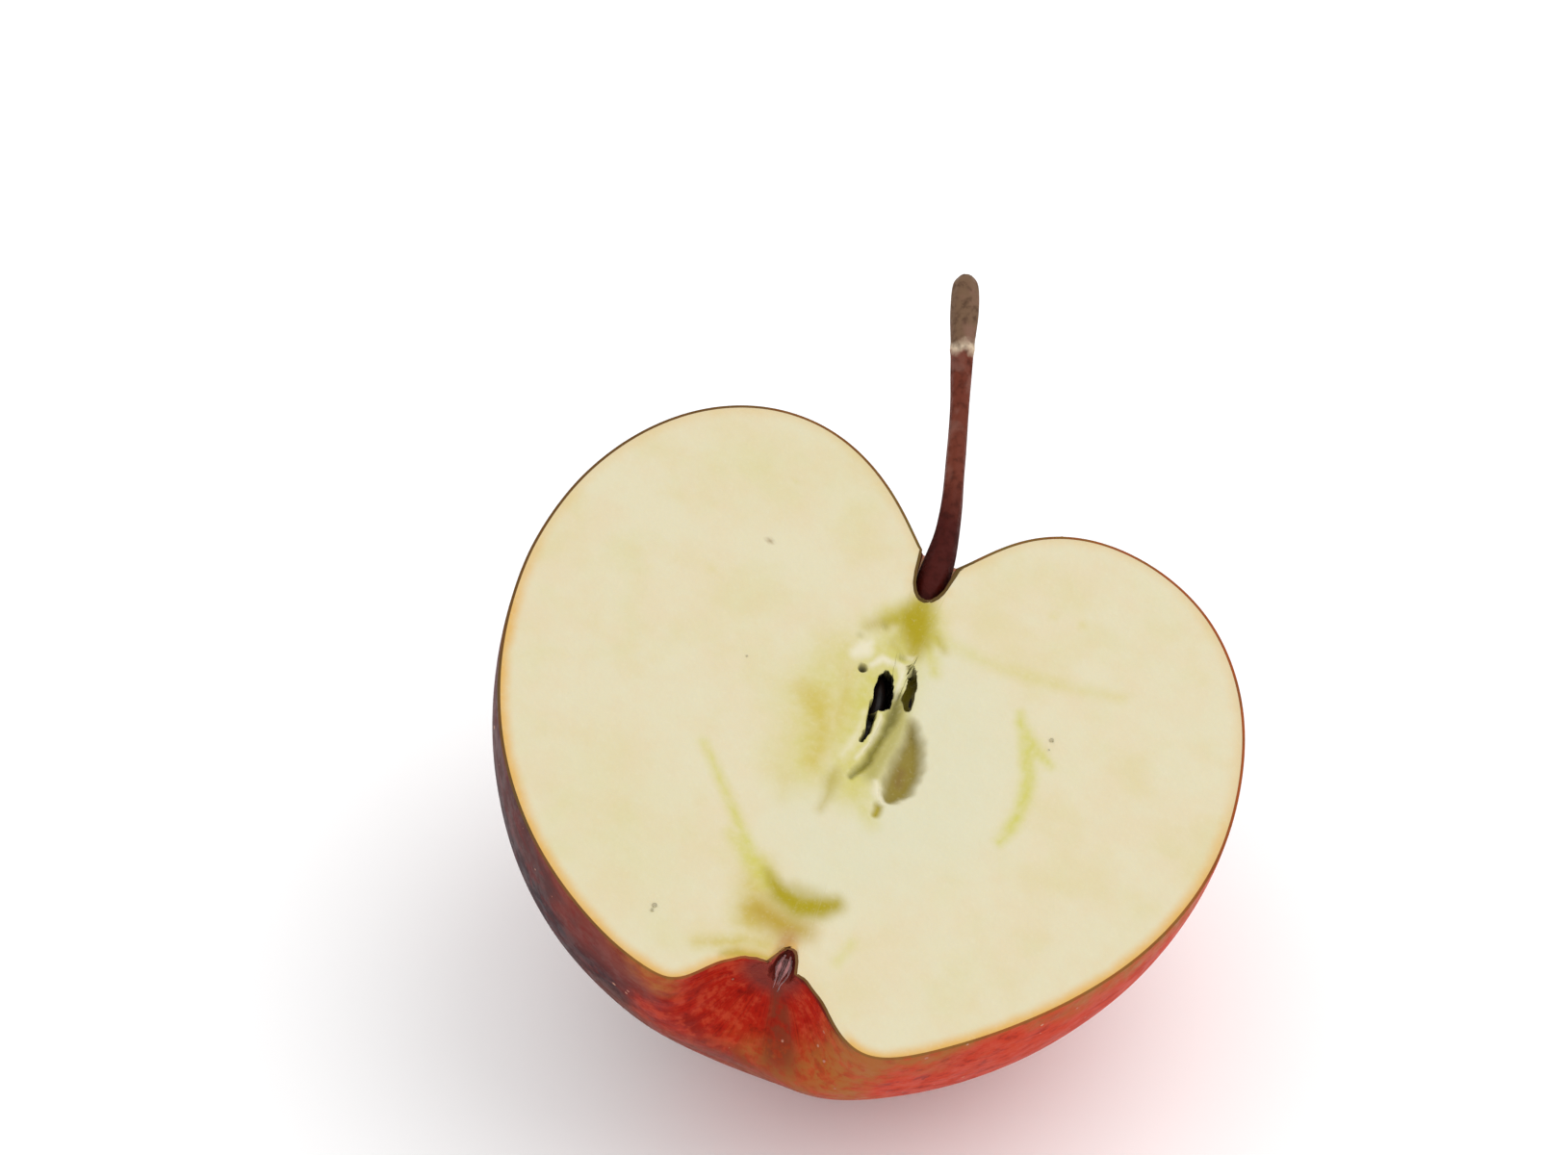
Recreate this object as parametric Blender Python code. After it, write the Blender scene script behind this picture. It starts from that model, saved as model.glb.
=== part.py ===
"""Half of a tree fruit, cut from stem to blossom end and lying on its round back.

The fruit is modelled with its stem axis along +Y and the cut face up, +Z.
An empty then turns and lowers it to the way it rests on a table.
"""
import math
from collections import namedtuple

import bmesh
import bpy
from mathutils import Matrix, Vector

MM = 0.001

# The cut face and the way the half rests
CUT_OFFSET = 2.0 * MM
STEM_RISE = math.radians(9.3)
FACE_ROLL = math.radians(12.8)
FLAT_DEPTH = 0.8 * MM
CUTTER_SIZE = 120.0 * MM

# Mesh density of the whole fruit before it is cut
FRUIT_SEGMENTS = 84
FRUIT_RINGS = 56

# One side of the fruit in profile, measured from the core
Side = namedtuple("Side", "radius middle shoulder shoulder_power cavity cavity_power "
                          "base base_power basin basin_power")
LEFT_SIDE = Side(radius=37.5 * MM, middle=6.2 * MM,
                 shoulder=31.7 * MM, shoulder_power=2.90, cavity=10.5 * MM, cavity_power=1.07,
                 base=39.7 * MM, base_power=2.23, basin=6.4 * MM, basin_power=3.42)
RIGHT_SIDE = Side(radius=35.3 * MM, middle=4.1 * MM,
                  shoulder=28.8 * MM, shoulder_power=3.69, cavity=5.7 * MM, cavity_power=1.13,
                  base=43.0 * MM, base_power=1.24, basin=7.9 * MM, basin_power=2.37)
CAVITY_FLOOR = 18.0 * MM
BASIN_FLOOR = -26.9 * MM

# The back is fuller than the cut outline and shallower towards the blossom end
BACK_POWER = 4.0
BACK_FULLNESS = 0.09
BACK_SHIFT = 0.3 * MM
BACK_BASE_POWER = 2.0
BACK_BASE_RISE = -2.9 * MM

# The rounded floor of the stem cavity, and five low ribs round the blossom basin
SOCKET_FLOOR = 19.8 * MM
SOCKET_RADIUS = 2.6 * MM
RIB_COUNT = 5
RIB_HEIGHT = 0.35 * MM
RIB_RING = 14.0 * MM
RIB_SPREAD = 6.0 * MM

# Pockets of the core, with the cup round the stem's foot and the tube of the dried flower:
# centre on the cut face, depth, half sizes and turns in degrees
Pocket = namedtuple("Pocket", "name x y depth half_width half_length half_depth turn lean")
POCKETS = [
    Pocket("seed_pocket", -1.05 * MM, 5.9 * MM, 2.1 * MM,
           1.50 * MM, 4.1 * MM, 2.75 * MM, 11.0, 14.0),
    Pocket("pocket_tail", -0.62 * MM, 1.5 * MM, 0.1 * MM,
           0.33 * MM, 2.3 * MM, 1.6 * MM, -3.0, 0.0),
    Pocket("side_pocket", 2.10 * MM, 7.3 * MM, 1.6 * MM,
           1.10 * MM, 3.9 * MM, 1.95 * MM, 14.0, -16.0),
    Pocket("husk_dish", 4.1 * MM, -1.3 * MM, -0.3 * MM,
           1.65 * MM, 4.1 * MM, 1.6 * MM, -2.0, 0.0),
    Pocket("pin_hole", -3.3 * MM, 7.5 * MM, 0.1 * MM,
           0.45 * MM, 0.5 * MM, 1.2 * MM, 0.0, 0.0),
    Pocket("stem_cup", -0.45 * MM, 21.5 * MM, 1.6 * MM,
           2.0 * MM, 4.7 * MM, 3.0 * MM, 0.0, 0.0),
    Pocket("flower_tube", 0.8 * MM, -27.3 * MM, 0.9 * MM,
           1.15 * MM, 2.95 * MM, 1.9 * MM, 0.0, 0.0),
]
POCKET_SEGMENTS = 20
POCKET_RINGS = 14

# Seeds lie in two of the pockets with a clear gap round them
Seed = namedtuple("Seed", "name x y depth half_width half_length half_depth turn lean")
SEEDS = [
    Seed("seed_main", -1.05 * MM, 5.9 * MM, 2.1 * MM,
         1.1 * MM, 3.4 * MM, 1.75 * MM, 11.0, 14.0),
    Seed("seed_side", 2.10 * MM, 7.3 * MM, 1.6 * MM,
         0.7 * MM, 2.8 * MM, 1.15 * MM, 14.0, -16.0),
]
SEED_SEGMENTS = 16
SEED_RINGS = 12
SEED_TAPER = 0.35

# The stem's middle line from its foot to its tip: across, along, up and thickness
StemPoint = namedtuple("StemPoint", "x y z thickness")
STEM = [
    StemPoint(-0.45 * MM, 17.5 * MM, -1.8 * MM, 0.9 * MM),
    StemPoint(-0.45 * MM, 18.1 * MM, -1.7 * MM, 1.9 * MM),
    StemPoint(-0.45 * MM, 19.3 * MM, -1.7 * MM, 2.8 * MM),
    StemPoint(-0.45 * MM, 21.0 * MM, -1.6 * MM, 3.3 * MM),
    StemPoint(-0.55 * MM, 23.2 * MM, -1.5 * MM, 3.2 * MM),
    StemPoint(-0.90 * MM, 26.2 * MM, -1.0 * MM, 2.6 * MM),
    StemPoint(-1.60 * MM, 29.5 * MM, -0.3 * MM, 2.2 * MM),
    StemPoint(-2.90 * MM, 34.0 * MM, 0.6 * MM, 2.0 * MM),
    StemPoint(-4.50 * MM, 39.2 * MM, 1.9 * MM, 2.0 * MM),
    StemPoint(-5.60 * MM, 42.5 * MM, 2.8 * MM, 2.3 * MM),
    StemPoint(-6.50 * MM, 44.9 * MM, 3.8 * MM, 2.5 * MM),
    StemPoint(-7.60 * MM, 48.1 * MM, 4.9 * MM, 3.0 * MM),
    StemPoint(-8.50 * MM, 50.6 * MM, 5.7 * MM, 2.7 * MM),
    StemPoint(-8.85 * MM, 51.6 * MM, 6.0 * MM, 1.2 * MM),
]
STEM_STEPS = 4
STEM_BEVEL_RESOLUTION = 4

# The dried flower remains stand in their tube as a small ridged tuft
TUFT_ACROSS = 0.8 * MM
TUFT_DEPTH = 0.95 * MM
TUFT_FOOT = -25.0 * MM
TUFT_LENGTH = 3.7 * MM
TUFT_RADIUS = 0.8 * MM
TUFT_TIP_SHARE = 0.35
TUFT_RIDGE = 0.18
TUFT_SEGMENTS = 20
TUFT_RINGS = 10

# Colour, roughness and metallic value of each material
FLESH = ("flesh", (0.79, 0.70, 0.49), 0.45, 0.0)
STEM_BARK = ("stem", (0.12, 0.05, 0.03), 0.70, 0.0)
SEED_COAT = ("seed", (0.03, 0.012, 0.008), 0.35, 0.0)
DRY_SEPAL = ("sepal", (0.20, 0.13, 0.10), 0.85, 0.0)


def clear_scene():
    for item in list(bpy.data.objects):
        bpy.data.objects.remove(item)


def new_collection(name):
    collection = bpy.data.collections.new(name)
    bpy.context.scene.collection.children.link(collection)
    return collection


def material(name, colour, roughness, metallic):
    made = bpy.data.materials.new(name)
    made.use_nodes = True
    shader = made.node_tree.nodes["Principled BSDF"]
    shader.inputs["Base Color"].default_value = (*colour, 1.0)
    shader.inputs["Roughness"].default_value = roughness
    shader.inputs["Metallic"].default_value = metallic
    return made


def mesh_object(name, bm, collection, parent, finish=None):
    mesh = bpy.data.meshes.new(name)
    bm.to_mesh(mesh)
    bm.free()
    if finish:
        mesh.materials.append(material(*finish))
    mesh.shade_smooth()
    made = bpy.data.objects.new(name, mesh)
    made.parent = parent
    collection.objects.link(made)
    return made


def mark_cutter(cutter):
    cutter.hide_render = True
    cutter.display_type = "WIRE"


def smooth_step(value):
    value = min(max(value, 0.0), 1.0)
    return value * value * (3.0 - 2.0 * value)


def side_at(around):
    """The profile sizes at an angle round the axis: 0 is the right side, 180 the left."""
    right = (1.0 + math.cos(around)) / 2.0
    side = Side(*(r * right + l * (1.0 - right) for r, l in zip(RIGHT_SIDE, LEFT_SIDE)))
    sine = abs(math.sin(around))
    back = sine ** BACK_POWER
    return side._replace(radius=side.radius * (1.0 + BACK_FULLNESS * back),
                         middle=side.middle + BACK_SHIFT * back,
                         base=side.base + BACK_BASE_RISE * sine ** BACK_BASE_POWER)


def dome(share, power):
    return math.sqrt(max(1.0 - share ** power, 0.0))


def shoulder_height(side, out):
    """The stem end's surface at the distance `out` from the axis."""
    crown = side.middle + side.shoulder * dome(out / side.radius, side.shoulder_power)
    pit = side.middle + side.shoulder - CAVITY_FLOOR
    height = crown - pit * math.exp(-(out / side.cavity) ** side.cavity_power)
    share = smooth_step(out / SOCKET_RADIUS)
    return SOCKET_FLOOR * (1.0 - share) + height * share


def base_height(side, out, around):
    """The blossom end's surface at the distance `out` from the axis."""
    crown = side.middle - side.base * dome(out / side.radius, side.base_power)
    pit = BASIN_FLOOR - side.middle + side.base
    rib = RIB_HEIGHT * math.sin(RIB_COUNT * around)
    rib *= math.exp(-((out - RIB_RING) / RIB_SPREAD) ** 2)
    return crown + pit * math.exp(-(out / side.basin) ** side.basin_power) + rib


def fruit_point(ball):
    """Where a point of the unit ball, poles on Z, lies on the fruit's skin."""
    spread = math.hypot(ball.x, ball.y)
    around = math.atan2(ball.y, ball.x)
    side = side_at(around)
    out = side.radius * min(spread, 1.0)
    if ball.z >= 0.0:
        along = shoulder_height(side, out)
    else:
        along = base_height(side, out, around)
    return Vector((out * math.cos(around), along, -out * math.sin(around) - CUT_OFFSET))


def fruit_ball():
    bm = bmesh.new()
    bmesh.ops.create_uvsphere(bm, u_segments=FRUIT_SEGMENTS, v_segments=FRUIT_RINGS, radius=1.0)
    for vert in bm.verts:
        vert.co = fruit_point(vert.co)
    return bm


def ball_shape(segments, rings, shape, size):
    """A ball shaped by `size`, put at the pocket or seed `shape`."""
    bm = bmesh.new()
    bmesh.ops.create_uvsphere(bm, u_segments=segments, v_segments=rings, radius=1.0)
    place = (Matrix.Translation((shape.x, shape.y, -shape.depth))
             @ Matrix.Rotation(math.radians(shape.turn), 4, "Z")
             @ Matrix.Rotation(math.radians(shape.lean), 4, "Y"))
    for vert in bm.verts:
        narrowing, length = size(vert.co)
        vert.co = place @ Vector((vert.co.x * shape.half_width * narrowing,
                                  vert.co.z * length,
                                  -vert.co.y * shape.half_depth * narrowing))
    return bm


def pocket_cutter(pocket, collection, pose):
    bm = ball_shape(POCKET_SEGMENTS, POCKET_RINGS, pocket, lambda co: (1.0, pocket.half_length))
    cutter = mesh_object(pocket.name, bm, collection, pose)
    mark_cutter(cutter)
    return cutter


def seed(shape, collection, pose):
    """A flat drop with its point towards the stem."""
    bm = ball_shape(SEED_SEGMENTS, SEED_RINGS, shape,
                    lambda co: (1.0 - SEED_TAPER * (co.z + 1.0) / 2.0, shape.half_length))
    return mesh_object(shape.name, bm, collection, pose, SEED_COAT)


def block_cutter(name, centre, collection, parent):
    bm = bmesh.new()
    bmesh.ops.create_cube(bm, size=CUTTER_SIZE, matrix=Matrix.Translation(centre))
    cutter = mesh_object(name, bm, collection, parent)
    mark_cutter(cutter)
    return cutter


def subtract(target, cutter):
    modifier = target.modifiers.new("cut_" + cutter.name, "BOOLEAN")
    modifier.operation = "DIFFERENCE"
    modifier.object = cutter


def smooth_line(points, steps):
    """Points on a smooth line through the stem's points, with their thickness."""
    ends = [points[0]] + points + [points[-1]]
    line = []
    for before, start, end, after in zip(ends, ends[1:], ends[2:], ends[3:]):
        for step in range(steps):
            t = step / steps
            line.append([0.5 * (2.0 * b + (c - a) * t + (2.0 * a - 5.0 * b + 4.0 * c - d) * t ** 2
                                + (3.0 * b - a - 3.0 * c + d) * t ** 3)
                         for a, b, c, d in zip(before, start, end, after)])
    line.append(list(points[-1]))
    return line


def stem(collection, pose):
    line = smooth_line(STEM, STEM_STEPS)
    curve = bpy.data.curves.new("stem_line", "CURVE")
    curve.dimensions = "3D"
    curve.bevel_depth = MM
    curve.bevel_resolution = STEM_BEVEL_RESOLUTION
    curve.use_fill_caps = True
    spline = curve.splines.new("POLY")
    spline.points.add(len(line) - 1)
    for point, (x, y, z, thickness) in zip(spline.points, line):
        point.co = (x, y, z, 1.0)
        point.radius = thickness / 2.0 / MM
    guide = bpy.data.objects.new("stem_line", curve)
    guide.parent = pose
    collection.objects.link(guide)
    bpy.context.view_layer.update()
    solid = guide.evaluated_get(bpy.context.evaluated_depsgraph_get())
    bm = bmesh.new()
    bm.from_mesh(bpy.data.meshes.new_from_object(solid))
    bmesh.ops.remove_doubles(bm, verts=bm.verts, dist=0.01 * MM)
    bpy.data.objects.remove(guide)
    return mesh_object("stem", bm, collection, pose, STEM_BARK)


def calyx_tuft(collection, pose):
    """Dried sepals folded together: a cone with five soft ridges."""
    bm = bmesh.new()
    bmesh.ops.create_uvsphere(bm, u_segments=TUFT_SEGMENTS, v_segments=TUFT_RINGS, radius=1.0)
    for vert in bm.verts:
        around = math.atan2(vert.co.y, vert.co.x)
        down = (1.0 - vert.co.z) / 2.0
        radius = TUFT_RADIUS * (1.0 - (1.0 - TUFT_TIP_SHARE) * down)
        radius *= math.hypot(vert.co.x, vert.co.y) * (1.0 + TUFT_RIDGE * math.cos(RIB_COUNT * around))
        vert.co = (TUFT_ACROSS + radius * math.cos(around), TUFT_FOOT - TUFT_LENGTH * down,
                   -TUFT_DEPTH - radius * math.sin(around))
    return mesh_object("calyx_tuft", bm, collection, pose, DRY_SEPAL)


def resting_pose(collection, fruit_points):
    """An empty that tips the half onto its back, with the flat spot's centre at the origin."""
    pose = bpy.data.objects.new("resting_pose", None)
    pose.rotation_mode = "YXZ"
    pose.rotation_euler = (STEM_RISE, FACE_ROLL, 0.0)
    turn = pose.rotation_euler.to_matrix()
    lowest = min((turn @ point for point in fruit_points), key=lambda point: point.z)
    pose.location = -lowest - Vector((0.0, 0.0, FLAT_DEPTH))
    collection.objects.link(pose)
    return pose


def build():
    clear_scene()
    parts = new_collection("fruit_half")
    cutters = new_collection("cutters")
    ball = fruit_ball()
    pose = resting_pose(parts, [vert.co.copy() for vert in ball.verts])
    fruit = mesh_object("fruit_half", ball, parts, pose, FLESH)
    half_block = CUTTER_SIZE / 2.0
    subtract(fruit, block_cutter("knife_block", (0.0, 0.0, half_block), cutters, pose))
    for pocket in POCKETS:
        subtract(fruit, pocket_cutter(pocket, cutters, pose))
    subtract(fruit, block_cutter("table_block", (0.0, 0.0, -half_block), cutters, None))
    for shape in SEEDS:
        seed(shape, parts, pose)
    stem(parts, pose)
    calyx_tuft(parts, pose)


build()
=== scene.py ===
import math
from collections import namedtuple

import bmesh
import bpy
import numpy as np
from bpy.props import FloatProperty, FloatVectorProperty, IntProperty, PointerProperty
from mathutils import Matrix, Vector, kdtree, noise


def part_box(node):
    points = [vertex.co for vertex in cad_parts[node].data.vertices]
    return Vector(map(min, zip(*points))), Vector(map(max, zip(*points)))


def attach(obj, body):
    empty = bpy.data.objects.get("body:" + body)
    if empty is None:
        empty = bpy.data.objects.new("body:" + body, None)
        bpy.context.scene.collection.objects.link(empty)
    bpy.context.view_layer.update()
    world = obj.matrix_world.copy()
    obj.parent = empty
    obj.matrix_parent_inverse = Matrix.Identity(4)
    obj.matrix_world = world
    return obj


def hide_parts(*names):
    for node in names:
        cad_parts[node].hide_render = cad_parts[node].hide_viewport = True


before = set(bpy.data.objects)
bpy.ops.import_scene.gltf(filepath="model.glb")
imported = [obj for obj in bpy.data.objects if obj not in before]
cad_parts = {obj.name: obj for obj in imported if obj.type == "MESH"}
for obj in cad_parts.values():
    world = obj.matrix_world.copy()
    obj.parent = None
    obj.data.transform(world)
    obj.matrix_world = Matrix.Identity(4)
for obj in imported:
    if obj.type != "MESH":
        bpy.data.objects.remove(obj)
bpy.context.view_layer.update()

bl_info = {
    "name": "Apple Half",
    "version": (1, 0, 0),
    "blender": (4, 5, 0),
    "location": "View3D > Sidebar > Apple Half",
    "description": "Cut flesh, skin, stem, seeds and sepals of an apple half, with its stage",
    "category": "Add Mesh",
}

# Sizes are in millimetres in the fruit's own axes: +Y to the stem, +Z out of the cut face.
# The pose turns them to the way the half rests and scales them to metres.
MM = 0.001
SQUARE_CM = 1e-4
CUT_OFFSET = 2.0
STEM_RISE = math.radians(9.3)
FACE_ROLL = math.radians(12.8)

# One side of the fruit in profile, measured from the core
Side = namedtuple("Side", "radius middle shoulder shoulder_power cavity cavity_power "
                          "base base_power basin basin_power")
LEFT_SIDE = Side(radius=37.5, middle=6.2, shoulder=31.7, shoulder_power=2.90,
                 cavity=10.5, cavity_power=1.07, base=39.7, base_power=2.23,
                 basin=6.4, basin_power=3.42)
RIGHT_SIDE = Side(radius=35.3, middle=4.1, shoulder=28.8, shoulder_power=3.69,
                  cavity=5.7, cavity_power=1.13, base=43.0, base_power=1.24,
                  basin=7.9, basin_power=2.37)
CAVITY_FLOOR = 18.0
BASIN_FLOOR = -26.9
BACK_POWER = 4.0
BACK_FULLNESS = 0.09
BACK_SHIFT = 0.3
BACK_BASE_POWER = 2.0
BACK_BASE_RISE = -2.9
SOCKET_FLOOR = 19.8
SOCKET_RADIUS = 2.6
RIB_COUNT = 5
RIB_HEIGHT = 0.35
RIB_RING = 14.0
RIB_SPREAD = 6.0

# The cup round the stem's foot and the tube of the dried flower: centre on the cut face,
# depth of the centre and half sizes
Cup = namedtuple("Cup", "x y depth half_width half_length half_depth")
STEM_CUP = Cup(-0.45, 21.5, 1.6, 2.0, 4.7, 3.0)
FLOWER_TUBE = Cup(0.8, -27.3, 0.9, 1.15, 2.95, 1.9)

# Fine folds of the skin in the blossom basin, and soft dents all over
FOLD_COUNT = 26
FOLD_DEPTH = 0.16
FOLD_RING = 5.5
FOLD_SPREAD = 3.2
DENT_DEPTH = 0.10
DENT_SIZE = 9.0

# The skin's mesh: rings round each end, rings down the side, and points along a ring
CAP_RINGS = 5
SIDE_RINGS = 116
RING_POINTS = 280
INNER_POINTS = 36
RING_EASE = 1.3

# The skin's streaks: how they stretch from end to end, and the side the dull one runs down
STREAK_STRETCH = (1.0, 1.0, 0.16)
STREAK_SIDE = 0.40

# The cut face's mesh: rows from the middle out, fine over the core and wider beyond it
FACE_CENTRE = (0.8, 0.0)
CORE_ROWS = 100
CORE_SHARE = 0.38
OUTER_ROWS = 40
EDGE_ROWS = (0.975, 0.985, 0.993)
RIM_DROP = 0.03
EDGE_WANDER = 0.12
EDGE_WANDER_SIZE = 0.8
RIM_FADE = 1.5
FLESH_TUCK = 0.9

# How many times full white the stage lights a white surface
LIGHT_LEVEL = 1.28


def tone(red, green, blue):
    """The shader's colour that shows as these screen values, 0 to 255, under the stage's light."""
    def linear(value):
        value /= 255.0
        value = value / 12.92 if value <= 0.04045 else ((value + 0.055) / 1.055) ** 2.4
        return value / LIGHT_LEVEL
    return (linear(red), linear(green), linear(blue))


def colour_setting(name, description, *screen_values):
    return FloatVectorProperty(name=name, description=description, subtype="COLOR",
                               default=tone(*screen_values))


# Marks on the cut face: a stroke through points across, along and half width, with a soft
# edge, how far it goes down (up if negative) and how strongly it takes its colour. A pocket
# also widens below its opening by `bulge` and leans over by `lean` degrees.
Stroke = namedtuple("Stroke", "kind points soft depth strength bulge lean")


def mark(kind, points, soft=0.25, depth=0.0, strength=1.0, bulge=0.0, lean=0.0):
    return Stroke(kind, points, soft, depth, strength, bulge, lean)


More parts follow.
